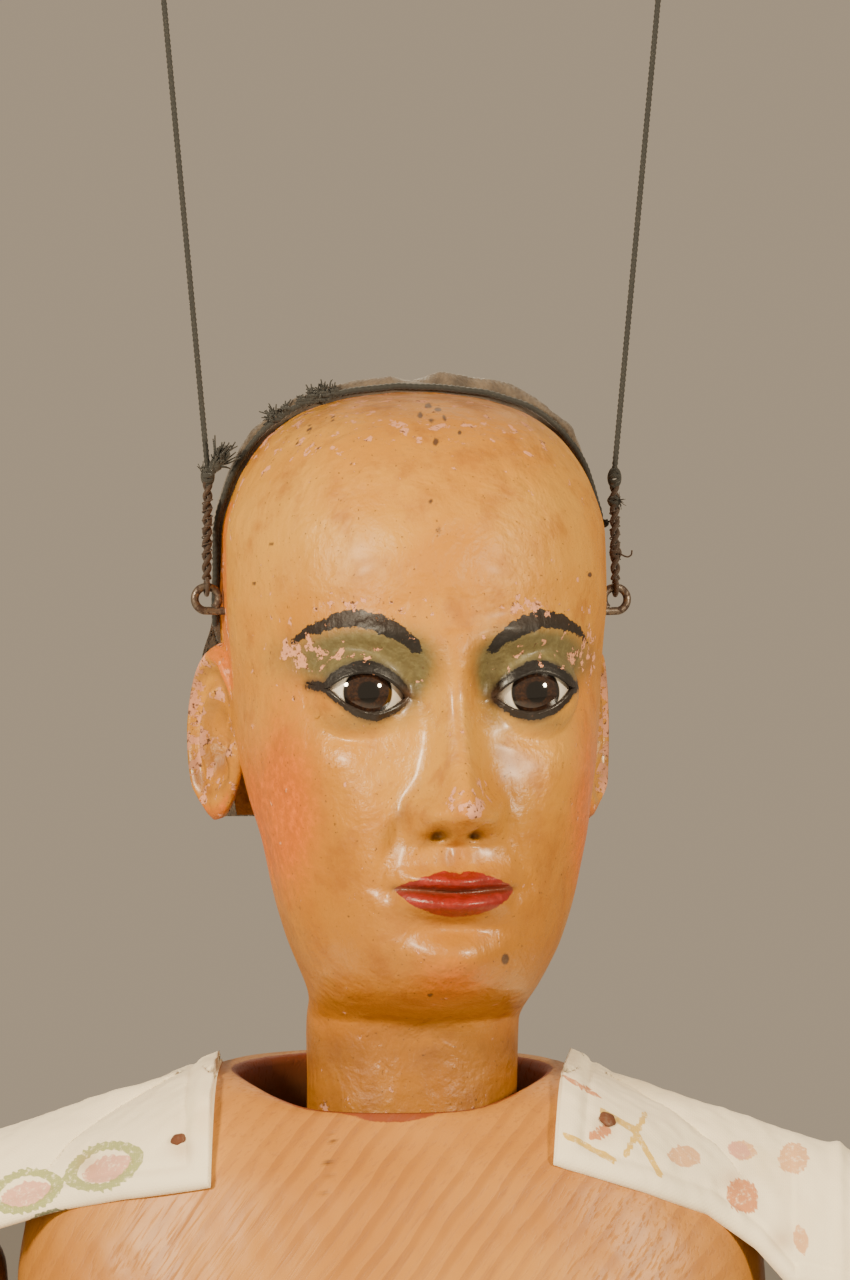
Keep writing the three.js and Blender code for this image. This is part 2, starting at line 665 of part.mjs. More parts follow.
function makeArm(group, side, sign) {
  const x = TORSO_X + sign * ARM_X;
  const upper = forkEnd(upperArmShape(0), ELBOW, ELBOW_HALF_WIDTH, 0, 0, ELBOW_Z);
  group.add(piece(`upper_arm_${side}`, upper.translate(x, 0, 0), FINISH.darkWood()));
  const outside = block(40, 60, FLAP_DEPTH + 30, sign * 18, 0, SHOULDER_Z + 30 - FLAP_DEPTH / 2);
  const flap = upperArmShape(CLEARANCE + STRAP_THICKNESS)
    .subtract(upperArmShape(CLEARANCE))
    .intersect(solid(outside));
  group.add(piece(`strap_flap_${side}`, flap.translate(x, 0, 0), FINISH.cloth()));
  group.add(
    piece(`elbow_pin_${side}`, jointPin(ELBOW, ELBOW_HALF_WIDTH, x, 0, ELBOW_Z), FINISH.wire()),
  );

  const forearm = solid(
    loft([
      [WRIST_Z, WRIST_HALF_WIDTH, 8],
      [WRIST_Z + 25, 8.5, 8.5],
      [ELBOW_Z - 40, 11.5, 12],
      [ELBOW_Z - 20, 12, 12.5],
      [ELBOW_Z - ELBOW.shoulder, 11.5, 11],
    ]),
  );
  const folded = tongueEnd(forearm.subtract(foldSlope(ELBOW, 0, 0, ELBOW_Z, -1)), ELBOW, 0, 0, ELBOW_Z);
  const fork = forkEnd(folded, WRIST, WRIST_HALF_WIDTH, 0, 0, WRIST_Z);
  group.add(piece(`forearm_${side}`, fork.translate(x, 0, 0), FINISH.darkWood()));
  group.add(
    piece(`wrist_pin_${side}`, jointPin(WRIST, WRIST_HALF_WIDTH, x, 0, WRIST_Z), FINISH.wire()),
  );

  const palm = solid(
    loft(
      [
        [WRIST_Z - HAND_LENGTH, 3, 6, -3],
        [WRIST_Z - HAND_LENGTH + 3, 4.5, 10, -3],
        [WRIST_Z - 48, 5.5, 14, -1],
        [WRIST_Z - 30, 6.5, 14.5],
        [WRIST_Z - 16, 6.5, 9],
        [WRIST_Z - WRIST.shoulder, 6, 7],
      ],
      12,
    ),
  );
  const thumb = solid(
    loft([[-15, 2.5, 2.5], [-11, 3.6, 3.8], [8, 3.8, 4.5], [14, 2, 3]], 8)
      .rotateX(-0.5)
      .translate(0, -15, WRIST_Z - 34),
  );
  const hand = tongueEnd(palm.add(thumb), WRIST, 0, 0, WRIST_Z);
  group.add(piece(`hand_${side}`, hand.translate(x, 0, 0), FINISH.skin()));
}

// ---- pelvis and legs ----
const PELVIS_TOP = lowerFaceZ(TORSO_FOOT);
const PELVIS_FOOT = PELVIS_TOP - PELVIS_HEIGHT;
const THIGH_TOP = lowerFaceZ(PELVIS_FOOT);
const KNEE_Z = THIGH_TOP - THIGH_LENGTH;
const ANKLE_Z = KNEE_Z - SHIN_LENGTH;
const SOLE_Z = ANKLE_Z - SOLE_DROP;
const KNEE_HALF_WIDTH = 15;
const ANKLE_HALF_WIDTH = 11;

function makePelvis(group) {
  let pelvis = solid(
    loft(
      [
        [PELVIS_FOOT, 40, 12],
        [PELVIS_FOOT + 5, 46, 21],
        [PELVIS_FOOT + 14, 50, 28],
        [PELVIS_FOOT + 28, 51, 31],
        [PELVIS_TOP - 8, 50, 31],
        [PELVIS_TOP, 44, 26],
      ],
      24,
      { power: 2.4 },
    ).translate(TORSO_X, 0, 0),
  ).subtract(eyeBore(TORSO_X, 0, PELVIS_TOP, -EYELET_SHANK));
  for (const [side, sign] of SIDES) {
    const x = TORSO_X + sign * LEG_X;
    pelvis = pelvis.subtract(eyeBore(x, 0, PELVIS_FOOT, EYELET_SHANK));
    const eye = screwEye(x, 0, upperEyeZ(PELVIS_FOOT), EYELET_SHANK, { facing: "y" });
    group.add(piece(`hip_eye_upper_${side}`, eye, FINISH.wire()));
  }
  group.add(piece("pelvis", pelvis, FINISH.wood()));
  const lower = screwEye(TORSO_X, 0, lowerEyeZ(TORSO_FOOT), -EYELET_SHANK);
  group.add(piece("waist_eye_lower", lower, FINISH.wire()));
}

function makeLeg(group, side, sign) {
  const x = TORSO_X + sign * LEG_X;
  const eye = screwEye(x, 0, lowerEyeZ(PELVIS_FOOT), -EYELET_SHANK);
  group.add(piece(`hip_eye_lower_${side}`, eye, FINISH.wire()));
  const thigh = solid(
    loft([
      [KNEE_Z, KNEE_HALF_WIDTH, 14, KNEE_Y],
      [KNEE_Z + 40, 16.5, 17, KNEE_Y],
      [KNEE_Z + 110, 19.5, 20, -1],
      [THIGH_TOP - 24, 20, 20],
      [THIGH_TOP - 8, 17, 17],
      [THIGH_TOP, 9, 9],
    ]),
  ).subtract(eyeBore(0, 0, THIGH_TOP, -EYELET_SHANK));
  const fork = forkEnd(thigh, KNEE, KNEE_HALF_WIDTH, 0, KNEE_Y, KNEE_Z);
  group.add(piece(`thigh_${side}`, fork.translate(x, 0, 0), FINISH.wood()));
  group.add(
    piece(`knee_pin_${side}`, jointPin(KNEE, KNEE_HALF_WIDTH, x, KNEE_Y, KNEE_Z), FINISH.wire()),
  );

  const shin = solid(
    loft([
      [ANKLE_Z, ANKLE_HALF_WIDTH, 10, ANKLE_Y],
      [ANKLE_Z + 30, 11, 11.5, ANKLE_Y - 1],
      [ANKLE_Z + 110, 14.5, 16.5, 2.5],
      [KNEE_Z - 32, 15, 16, 0],
      [KNEE_Z - KNEE.shoulder, 15, 14, KNEE_Y],
    ]),
  );
  const sloped = shin.subtract(foldSlope(KNEE, 0, KNEE_Y, KNEE_Z, 1));
  const folded = tongueEnd(sloped, KNEE, 0, KNEE_Y, KNEE_Z);
  const shinFork = forkEnd(folded, ANKLE, ANKLE_HALF_WIDTH, 0, ANKLE_Y, ANKLE_Z);
  group.add(piece(`shin_${side}`, shinFork.translate(x, 0, 0), FINISH.wood()));
  group.add(
    piece(`ankle_pin_${side}`, jointPin(ANKLE, ANKLE_HALF_WIDTH, x, ANKLE_Y, ANKLE_Z), FINISH.wire()),
  );

  const heelY = ANKLE_Y + 17;
  const toeY = heelY - FOOT_LENGTH;
  const middle = (heelY + toeY) / 2;
  const shoe = solid(
    loft(
      [
        [SOLE_Z, 13, FOOT_LENGTH / 2 - 1.5, middle],
        [SOLE_Z + 6, 15, FOOT_LENGTH / 2, middle],
        [SOLE_Z + 14, 14, FOOT_LENGTH / 2 - 4, middle + 3],
        [SOLE_Z + 22, 11.5, 22, ANKLE_Y - 6],
        [ANKLE_Z - ANKLE.shoulder, 10, 10.5, ANKLE_Y],
      ],
      18,
      { power: 2.4 },
    ),
  );
  const foot = tongueEnd(shoe, ANKLE, 0, ANKLE_Y, ANKLE_Z);
  group.add(piece(`foot_${side}`, foot.translate(x, 0, 0), FINISH.shoe()));
}

// ---- the figure ----
const marionette = new THREE.Group();
marionette.position.z = -HANG_Z;

const turned = new THREE.Group();
turned.rotation.z = THREE.MathUtils.degToRad(HEAD_TURN);
makeStrings(turned);
makeHead(turned);
marionette.add(turned);

makeTorso(marionette);
makePelvis(marionette);
for (const [side, sign] of SIDES) {
  makeArm(marionette, side, sign);
  makeLeg(marionette, side, sign);
}

export default marionette;
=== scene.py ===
"""Looks of a carved wooden marionette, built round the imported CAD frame.

Lengths are metres. The figure hangs from the origin, faces -Y, and its own left side is at +X.
"""

import logging
import math
from dataclasses import dataclass
from enum import Enum
from typing import Callable, Iterable, Sequence

import bmesh
import bpy
import numpy as np
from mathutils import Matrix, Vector


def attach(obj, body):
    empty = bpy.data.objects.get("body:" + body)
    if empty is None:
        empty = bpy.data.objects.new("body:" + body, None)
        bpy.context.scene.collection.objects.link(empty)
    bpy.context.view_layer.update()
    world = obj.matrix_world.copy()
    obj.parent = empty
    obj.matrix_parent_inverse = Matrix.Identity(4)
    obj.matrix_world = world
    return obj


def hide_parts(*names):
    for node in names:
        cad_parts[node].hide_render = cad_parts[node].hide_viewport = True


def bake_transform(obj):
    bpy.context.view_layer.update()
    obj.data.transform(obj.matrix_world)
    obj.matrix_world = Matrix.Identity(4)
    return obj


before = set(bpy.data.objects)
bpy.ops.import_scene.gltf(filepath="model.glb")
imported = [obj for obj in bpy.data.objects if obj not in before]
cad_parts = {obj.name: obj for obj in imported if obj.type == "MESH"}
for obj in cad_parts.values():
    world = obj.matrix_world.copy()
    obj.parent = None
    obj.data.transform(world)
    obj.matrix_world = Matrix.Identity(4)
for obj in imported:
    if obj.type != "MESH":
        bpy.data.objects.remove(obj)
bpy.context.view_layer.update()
LOG = logging.getLogger("marionette")
MM = 0.001
MERGE_DISTANCE = 1e-6
Array, Floats = np.ndarray, Sequence[float]
Material, Piece = bpy.types.Material, bpy.types.Object
Node, Socket, Tree = bpy.types.Node, bpy.types.NodeSocket, bpy.types.NodeTree

# The figure's own levels, in millimetres from the wire of the temple hooks, as in the CAD source.
HANG_Z = 128.0
HEAD_TURN = math.radians(10.0)
TORSO_X = -4.0


class Side(Enum):
    """The figure's own right and left."""

    RIGHT = -1
    LEFT = 1

    @property
    def word(self) -> str:
        """The word that CAD node and body names end in."""
        return self.name.lower()


# ---------------------------------------------------------------- numpy surfaces
def smoothstep(low: float, high: float, value: Array) -> Array:
    """Rises from 0 at low to 1 at high along a cubic with flat ends."""
    t = np.clip((value - low) / (high - low), 0.0, 1.0)
    return t * t * (3.0 - 2.0 * t)


def bump(x: Array, z: Array, cx: float, cz: float, sx: float, sz: float) -> Array:
    """A round hill: the Gaussian of the distance from (cx, cz) in units of (sx, sz)."""
    return np.exp(-(((x - cx) / sx) ** 2) - ((z - cz) / sz) ** 2)


def ridge(value: Array, middle: Array | float, width: float) -> Array:
    """A soft ridge: the Gaussian of the distance from middle in units of width."""
    return np.exp(-(((value - middle) / width) ** 2))


def unit(vectors: Array) -> Array:
    """Vectors divided by their lengths."""
    return vectors / np.linalg.norm(vectors, axis=-1, keepdims=True)


def run_along(path: Array) -> Array:
    """Length along a path at each of its points, from 0."""
    return np.concatenate([[0], np.cumsum(np.linalg.norm(np.diff(path, axis=0), axis=1))])


def curve_through(t: Array, knots: Floats, values: Floats) -> Array:
    """A smooth curve through knots: cubic Hermite pieces with limited secant slopes.

    Args:
        t: Where to take the curve, any shape.
        knots: Rising knot places.
        values: The value at each knot.

    Returns:
        The curve's values, shaped like t.
    """
    k, v = np.asarray(knots, float), np.asarray(values, float)
    secant = np.diff(v) / np.diff(k)
    inner = np.where(
        secant[:-1] * secant[1:] > 0,
        2 * secant[:-1] * secant[1:] / np.where(secant[:-1] + secant[1:] == 0, 1, secant[:-1] + secant[1:]),
        0.0,
    )
    slope = np.concatenate([[secant[0]], inner, [secant[-1]]])
    i = np.clip(np.searchsorted(k, t, side="right") - 1, 0, len(k) - 2)
    h = k[i + 1] - k[i]
    s = np.clip((t - k[i]) / h, 0.0, 1.0)
    return (
        (2 * s**3 - 3 * s**2 + 1) * v[i]
        + (s**3 - 2 * s**2 + s) * h * slope[i]
        + (3 * s**2 - 2 * s**3) * v[i + 1]
        + (s**3 - s**2) * h * slope[i + 1]
    )


def smooth_noise(points: Array, scale: float, seed: int, octaves: int = 3) -> Array:
    """Soft noise from -1 to 1: a sum of sines along seeded random directions.

    Args:
        points: Places, (..., 3).
        scale: The length of the largest waves, in the points' unit.
        seed: The draw's seed.
        octaves: How many times the wave length is halved.

    Returns:
        One value for each place.
    """
    draw = np.random.default_rng(seed)
    total = np.zeros(points.shape[:-1])
    for octave in range(octaves):
        ways = draw.normal(size=(7, 3))
        ways *= (2 * math.pi / scale) * 2**octave / np.linalg.norm(ways, axis=1, keepdims=True)
        phases = draw.uniform(0, 2 * math.pi, 7)
        total += np.sin(points @ ways.T + phases).mean(axis=-1) / 1.6**octave
    return total


def grid_faces(rows: int, columns: int, wrap: bool = True) -> Array:
    """Quads of a grid of rows by columns, as indices; wrap joins the last column to the first.

    Args:
        rows: Grid rows.
        columns: Grid columns.
        wrap: Whether the columns close into a ring.

    Returns:
        One row of four indices for each quad.
    """
    r = np.arange(rows - 1)[:, None]
    c = np.arange(columns if wrap else columns - 1)[None, :]
    d = (c + 1) % columns
    quads = [r * columns + c, r * columns + d, (r + 1) * columns + d, (r + 1) * columns + c]
    return np.stack([np.broadcast_to(q, (rows - 1, c.size)) for q in quads], axis=-1).reshape(-1, 4)


@dataclass
class Shell:
    """One closed surface: its vertices in millimetres, its quads, and a value pair for each vertex."""

    points: Array
    quads: Array
    uv: Array

    def placed(self, turn: float) -> "Shell":
        """The same shell turned about Z."""
        c, s = math.cos(turn), math.sin(turn)
        turned = self.points @ np.array([[c, s, 0.0], [-s, c, 0.0], [0.0, 0.0, 1.0]])
        return Shell(turned, self.quads, self.uv)

    def outward(self) -> "Shell":
        """The same shell with its faces turned outwards, by the sign of its volume."""
        a, b, c, d = (self.points[self.quads[:, i]] for i in range(4))
        volume = (np.cross(b - a, c - a) * a).sum() + (np.cross(c - a, d - a) * a).sum()
        return self if volume > 0 else Shell(self.points, self.quads[:, ::-1], self.uv)

    def mirrored(self) -> "Shell":
        """The same shell on the other side of X = 0, with its faces still outwards."""
        return Shell(self.points * np.array([-1.0, 1.0, 1.0]), self.quads[:, ::-1], self.uv)


def closed_rings(rings: Array) -> Shell:
    """A closed skin over stacked rings: each ring joins the next, and a fan of quads closes each end.

    Args:
        rings: (rows, columns, 3) points, counter-clockwise seen from the last row's end.

    Returns:
        The shell. Its value pair is (turn round the ring, length along the rings).
    """
    rows, columns, _ = rings.shape
    ends = rings[[0, -1]].mean(axis=1, keepdims=True)
    full = np.concatenate([np.repeat(ends[:1], columns, 1), rings, np.repeat(ends[1:], columns, 1)])
    along = np.concatenate([[0], np.cumsum(np.linalg.norm(np.diff(full, axis=0), axis=2).mean(axis=1))])
    around = np.arange(columns) / columns
    uv = np.stack(np.meshgrid(around, along * MM), axis=-1).reshape(-1, 2)
    return Shell(full.reshape(-1, 3), grid_faces(rows + 2, columns), uv)


def tube_along(path: Array, radius: Array | float, sides: int = 10, ply: int = 0, depth: float = 0.0,
               pitch: float = 4.0) -> Shell:
    """A round section carried along a path, kept from twisting by passing its frame on step by step.

    Args:
        path: (n, 3) points of the centre line.
        radius: The section's radius, one value or one for each point.
        sides: Corners of the section.
        ply: Strands laid round the tube; each swells the section where it runs.
        depth: How far the strands swell, as a share of the radius.
        pitch: Length of one turn of a strand, in millimetres.

    Returns:
        The closed tube.
    """
    tangent = np.gradient(path, axis=0)
    tangent = unit(tangent)
    guide = np.array([0.0, 1.0, 0.0]) if abs(tangent[0, 1]) < 0.8 else np.array([1.0, 0.0, 0.0])
    normal = np.empty_like(path)
    last = guide
    for i, step in enumerate(tangent):
        last = last - step * (last @ step)
        last = unit(last)
        normal[i] = last
    binormal = np.cross(tangent, normal)
    angle = 2 * math.pi * np.arange(sides) / sides
    along = run_along(path)
    swell = 1.0 + depth * np.cos(ply * (angle[None, :] - 2 * math.pi * along[:, None]
                                        / pitch)) if ply else 1.0
    r = (np.broadcast_to(np.asarray(radius, float), (len(path),))[:, None] * swell)[..., None]
    rings = path[:, None] + r * (
        np.cos(angle)[None, :, None] * normal[:, None] + np.sin(angle)[None, :, None] * binormal[:, None]
    )
    return closed_rings(rings)


def closed_tube(path: Array, radius: float, sides: int = 8) -> Shell:
    """A tube along a flat closed loop.

    Args:
        path: (n, 3) points whose last is the first again.
        radius: The section's radius.
        sides: Corners of the section.

    Returns:
        The ring-shaped shell.
    """
    loop = path[:-1]
    tangent = np.roll(loop, -1, axis=0) - np.roll(loop, 1, axis=0)
    tangent = unit(tangent)
    flat = np.cross(tangent[0], tangent[len(loop) // 4])
    flat = unit(flat)
    out = np.cross(tangent, flat)
    angle = 2 * math.pi * np.arange(sides) / sides
    rings = loop[:, None] + radius * (np.cos(angle)[None, :, None] * out[:, None]
                                      + np.sin(angle)[None, :, None] * flat)
    rows = len(loop)
    full = np.concatenate([rings, rings[:1]])
    quads = grid_faces(rows + 1, sides) % (rows * sides)
    uv = np.stack(np.meshgrid(angle / (2 * math.pi), np.linspace(0, 1, rows)), axis=-1).reshape(-1, 2)
    return Shell(full[:-1].reshape(-1, 3), quads, uv)


def superellipse_rings(z: Array, width: Array, depth: Array, y: Array, power: Array | float,
                       columns: int) -> Array:
    """Rings at heights z: x = width |cos|^(2/power), y = centre + depth |sin|^(2/power), signs kept.

    Args:
        z: Height of each ring.
        width: Half width of each ring.
        depth: Half depth of each ring.
        y: Centre of each ring.
        power: Squareness, 2 for an ellipse.
        columns: Points round a ring.

    Returns:
        (rows, columns, 3) points.
    """
    angle = 2 * math.pi * np.arange(columns) / columns
    exponent = 2.0 / np.broadcast_to(np.asarray(power, float), z.shape)[:, None]
    c, s = np.cos(angle)[None, :], np.sin(angle)[None, :]
    px = width[:, None] * np.sign(c) * np.abs(c) ** exponent
    py = y[:, None] + depth[:, None] * np.sign(s) * np.abs(s) ** exponent
    return np.stack([px, py, np.broadcast_to(z[:, None], px.shape)], axis=-1)


def make_object(name: str, shells: Iterable[Shell]) -> Piece:
    """A mesh object of closed shells, in metres from the hanging point, at the origin.

    Args:
        name: The piece's name.
        shells: Its closed surfaces, in millimetres from the temple hooks.

    Returns:
        The object, with its value pairs as the UV map "UVMap".
    """
    parts = [shell.outward() for shell in shells]
    offsets = np.cumsum([0] + [len(p.points) for p in parts[:-1]])
    points = np.concatenate([p.points for p in parts])
    quads = np.concatenate([p.quads + o for p, o in zip(parts, offsets)])
    uv = np.concatenate([p.uv for p in parts])
    placed = (points - np.array([0.0, 0.0, HANG_Z])) * MM
    mesh = bpy.data.meshes.new(f"{name}_finished")
    mesh.from_pydata(placed.tolist(), [], quads.tolist())
    mesh.shade_smooth()
    layer = mesh.uv_layers.new(name="UVMap")
    loops = np.empty(len(mesh.loops), np.int32)
    mesh.loops.foreach_get("vertex_index", loops)
    layer.data.foreach_set("uv", uv[loops].astype(np.float32).ravel())
    piece = bpy.data.objects.new(f"{name}_finished", mesh)
    bpy.context.scene.collection.objects.link(piece)
    merge_close(piece)
    return piece


def merge_close(piece: Piece) -> None:
    """Merges points that lie on each other, so that fans and poles are closed.

    Args:
        piece: The object to clean.
    """
    work = bmesh.new()
    work.from_mesh(piece.data)
    bmesh.ops.remove_doubles(work, verts=work.verts, dist=MERGE_DISTANCE)
    bmesh.ops.dissolve_degenerate(work, edges=work.edges, dist=MERGE_DISTANCE / 10)
    work.to_mesh(piece.data)
    work.free()


def put_values(piece: Piece, name: str, work: Callable[[Array], Array]) -> None:
    """Writes one number at each vertex as an attribute.

    Args:
        piece: The object to write on.
        name: The attribute's name.
        work: Gives the numbers from the vertices, in millimetres from the temple hooks.
    """
    count = len(piece.data.vertices)
    co = np.empty(count * 3, np.float32)
    piece.data.vertices.foreach_get("co", co)
    local = co.reshape(-1, 3).astype(float) / MM + np.array([0.0, 0.0, HANG_Z])
    layer = piece.data.attributes.new(name, "FLOAT", "POINT")
    layer.data.foreach_set("value", work(local).astype(np.float32))


def finish_piece(piece: Piece, body: str, material: Material,
                 replaced: Sequence[str]) -> None:
    """Puts a piece on its body, gives it its finish and hides the CAD nodes that it stands for.

    Args:
        piece: The object.
        body: The CAD body that it rides on.
        material: The finish.
        replaced: CAD nodes that it stands for.
    """
    piece.data.materials.clear()
    piece.data.materials.append(material)
    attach(piece, body)
    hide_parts(*replaced)
    LOG.info("%s rides on %s", piece.name, body)


# ---------------------------------------------------------------- finishes
class Graph:
    """A node tree while it is being wired."""

    def __init__(self, tree: Tree) -> None:
        """Starts on a tree with whatever it holds."""
        self.tree = tree

    def node(self, kind: str, inputs: dict | None = None, **settings: object) -> Node:
        """Adds a node.

        Args:
            kind: The node's type, without "ShaderNode".
            inputs: Values or sockets for its inputs, by name or number.
            settings: Properties of the node.

        Returns:
            The node.
        """
        made = self.tree.nodes.new(kind if kind.startswith("Node") else "ShaderNode" + kind)
        for key, value in settings.items():
            setattr(made, key, value)
        for key, value in (inputs or {}).items():
            self.feed(made.inputs[key], value)
        return made

    def feed(self, socket: Socket, value: object) -> None:
        """Links a socket to another, or sets its value.

        Args:
            socket: The input.
            value: An output socket or a plain value.
        """
        if isinstance(value, Socket):
            self.tree.links.new(value, socket)
        elif isinstance(value, (tuple, list)) and socket.type == "RGBA" and len(value) == 3:
            socket.default_value = (*value, 1.0)
        else:
            socket.default_value = value

    def math(self, operation: str, *values: object, clamp: bool = False) -> Socket:
        """A Math node's value."""
        made = self.node("Math", dict(enumerate(values)), operation=operation, use_clamp=clamp)
        return made.outputs[0]

    def times(self, *values: object, clamp: bool = False) -> Socket:
        """The product of two values."""
        return self.math("MULTIPLY", *values, clamp=clamp)

    def plus(self, *values: object, clamp: bool = False) -> Socket:
        """The sum of two values."""
        return self.math("ADD", *values, clamp=clamp)

    def minus(self, *values: object, clamp: bool = False) -> Socket:
        """The first value less the second."""
        return self.math("SUBTRACT", *values, clamp=clamp)

    def ramp(self, value: object, low: float, high: float) -> Socket:
        """Maps a value smoothly to 0..1 between two places."""
        made = self.node("MapRange", {"Value": value, "From Min": low, "From Max": high},
                         interpolation_type="SMOOTHSTEP")
        return made.outputs["Result"]

    def mix(self, share: object, a: object, b: object) -> Socket:
        """Mixes two colours.

        Args:
            share: How much of b shows.
            a: The colour under.
            b: The colour over.

        Returns:
            The mixed colour.
        """
        made = self.node("Mix", data_type="RGBA")
        for socket, value in zip((made.inputs[0], made.inputs[6], made.inputs[7]), (share, a, b)):
            self.feed(socket, value)
        return made.outputs[2]

    def noise(self, place: object, scale: float, detail: float = 3.0, rough: float = 0.55,
              distortion: float = 0.0) -> Socket:
        """Noise from 0 to 1 at a place.

        Args:
            place: The coordinates.
            scale: Waves for each metre.
            detail: Octaves.
            rough: How strong the small octaves are.
            distortion: How far the place is pushed about.

        Returns:
            The noise.
        """
        made = self.node("TexNoise", {"Vector": place, "Scale": scale, "Detail": detail,
                                      "Roughness": rough, "Distortion": distortion})
        return made.outputs["Fac"]

    def object_place(self, turn: Floats = (0, 0, 0), scale: Floats = (1, 1, 1)
                     ) -> Socket:
        """Object coordinates, turned and stretched by a Mapping node."""
        place = self.node("TexCoord").outputs["Object"]
        made = self.node("Mapping", {"Vector": place, "Rotation": turn, "Scale": scale})
        return made.outputs["Vector"]

    def value_of(self, name: str) -> Socket:
        """A vertex attribute's number."""
        return self.node("Attribute", attribute_name=name).outputs["Fac"]


def new_group(name: str, inputs: Sequence[tuple],
              outputs: Sequence[tuple]) -> tuple[Graph, Node, Node]:
    """An empty node group with named sockets.

    Args:
        name: The group's name.
        inputs: (name, socket type, default) of each input.
        outputs: (name, socket type) of each output.

    Returns:
        Its graph, its input node and its output node.
    """
    tree = bpy.data.node_groups.new(name, "ShaderNodeTree")
    for label, kind, default in inputs:
        made = tree.interface.new_socket(name=label, in_out="INPUT", socket_type=kind)
        if default is not None:
            made.default_value = default
    for label, kind in outputs:
        tree.interface.new_socket(name=label, in_out="OUTPUT", socket_type=kind)
    graph = Graph(tree)
    return graph, graph.node("NodeGroupInput"), graph.node("NodeGroupOutput")


FLOAT, VECTOR = "NodeSocketFloat", "NodeSocketVector"


class Effects:
    """The effects that several finishes share, each a node group that is made once."""

    def __init__(self) -> None:
        """Makes the groups."""
        self.grain = self._grain()
        self.chips = self._chips()
        self.dust = self._dust()
        self.weave = self._weave()

    def _grain(self) -> Tree:
        """Wood grain: bands across a stretched place, bent by noise, with fine pores along them."""
        g, i, o = new_group(
            "WoodGrain",
            [("Place", VECTOR, None), ("Bands", FLOAT, 160.0), ("Bend", FLOAT, 2.0), ("Pores", FLOAT, 900.0)],
            [("Bands", FLOAT), ("Pores", FLOAT), ("Height", FLOAT)],
        )
        place = i.outputs["Place"]
        wave = g.node("TexWave", {"Vector": place, "Scale": i.outputs["Bands"],
                                  "Distortion": i.outputs["Bend"],
                                  "Detail": 3.0, "Detail Scale": 0.35, "Detail Roughness": 0.55},
                      wave_type="BANDS", bands_direction="X", wave_profile="SAW")
        bands = g.ramp(wave.outputs["Fac"], 0.15, 1.0)
        long_place = g.node("Mapping", {"Vector": place, "Scale": (1.0, 1.0, 0.05)}).outputs["Vector"]
        pores = g.node("TexNoise", {"Vector": long_place, "Scale": i.outputs["Pores"], "Detail": 4.0})
        fine = g.ramp(pores.outputs["Fac"], 0.5, 0.72)
        g.feed(o.inputs["Bands"], bands)
        g.feed(o.inputs["Pores"], fine)
        g.feed(o.inputs["Height"], g.minus(g.times(bands, 0.5), fine))
        return g.tree

    def _chips(self) -> Tree:
        """Chipped paint: islands of noise above a level that the amount lowers, with a crisp edge."""
        g, i, o = new_group(
            "ChippedPaint",
            [("Place", VECTOR, None), ("Scale", FLOAT, 400.0), ("Amount", FLOAT, 0.5)],
            [("Mask", FLOAT)],
        )
        big = g.node("TexNoise", {"Vector": i.outputs["Place"], "Scale": i.outputs["Scale"], "Detail": 5.0,
                                  "Roughness": 0.62}).outputs["Fac"]
        level = g.minus(0.82, g.times(i.outputs["Amount"], 0.42))
        over = g.minus(big, level)
        g.feed(o.inputs["Mask"], g.ramp(over, 0.0, 0.012))
        return g.tree

    def _dust(self) -> Tree:
        """Dust: soft cloudy noise that is thicker where a face looks up."""
        g, i, o = new_group(
            "Dust", [("Place", VECTOR, None), ("Scale", FLOAT, 60.0), ("Amount", FLOAT, 0.5)],
            [("Mask", FLOAT)]
        )
        cloud = g.node("TexNoise", {"Vector": i.outputs["Place"], "Scale": i.outputs["Scale"], "Detail": 6.0,
                                    "Roughness": 0.7}).outputs["Fac"]
        up = g.node("SeparateXYZ", {0: g.node("NewGeometry").outputs["Normal"]}).outputs["Z"]
        lift = g.plus(g.times(up, 0.35), 0.65, clamp=True)
        mask = g.times(g.ramp(cloud, 0.35, 0.75), g.times(lift, i.outputs["Amount"]))
        g.feed(o.inputs["Mask"], mask)
        return g.tree

    def _weave(self) -> Tree:
        """Plain weave on a flat map in metres: warp and weft humps that pass over each other in turn."""
        g, i, o = new_group(
            "PlainWeave", [("Place", VECTOR, None), ("Threads", FLOAT, 2000.0)],
            [("Height", FLOAT), ("Gap", FLOAT)]
        )
        scaled = g.node("VectorMath", {0: i.outputs["Place"], "Scale": i.outputs["Threads"]},
                        operation="SCALE")
        parts = g.node("SeparateXYZ", {0: scaled.outputs["Vector"]})
        u = g.times(parts.outputs["X"], math.pi)
        v = g.times(parts.outputs["Y"], math.pi)
        across = g.math("ABSOLUTE", g.math("SINE", u))
        down = g.math("ABSOLUTE", g.math("SINE", v))
        over = g.times(g.math("SINE", u), g.math("SINE", v))
        height = g.plus(g.times(g.math("MAXIMUM", across, down), 0.7),
                        g.times(over, 0.3))
        g.feed(o.inputs["Height"], height)
        g.feed(o.inputs["Gap"], g.ramp(g.math("MAXIMUM", across, down), 0.85, 0.55))
        return g.tree

    def use(self, graph: Graph, group: Tree, inputs: dict) -> Node:
        """Places a group in a material.

        Args:
            graph: The material's graph.
            group: The effect.
            inputs: Its values.

        Returns:
            The group node.
        """
        made = graph.node("Group")
        made.node_tree = group
        for key, value in inputs.items():
            graph.feed(made.inputs[key], value)
        return made


def new_material(name: str, **plain: object) -> tuple[Material, Graph, Node]:
    """A material with one Principled shader.

    Args:
        name: Its name.
        plain: Constant values of the shader's inputs, with _ for a space.

    Returns:
        The material, its graph and the shader node.
    """
    made = bpy.data.materials.new(name)
    made.use_nodes = True
    graph = Graph(made.node_tree)
    shader = made.node_tree.nodes["Principled BSDF"]
    for key, value in plain.items():
        graph.feed(shader.inputs[key.replace("_", " ")], value)
    return made, graph, shader


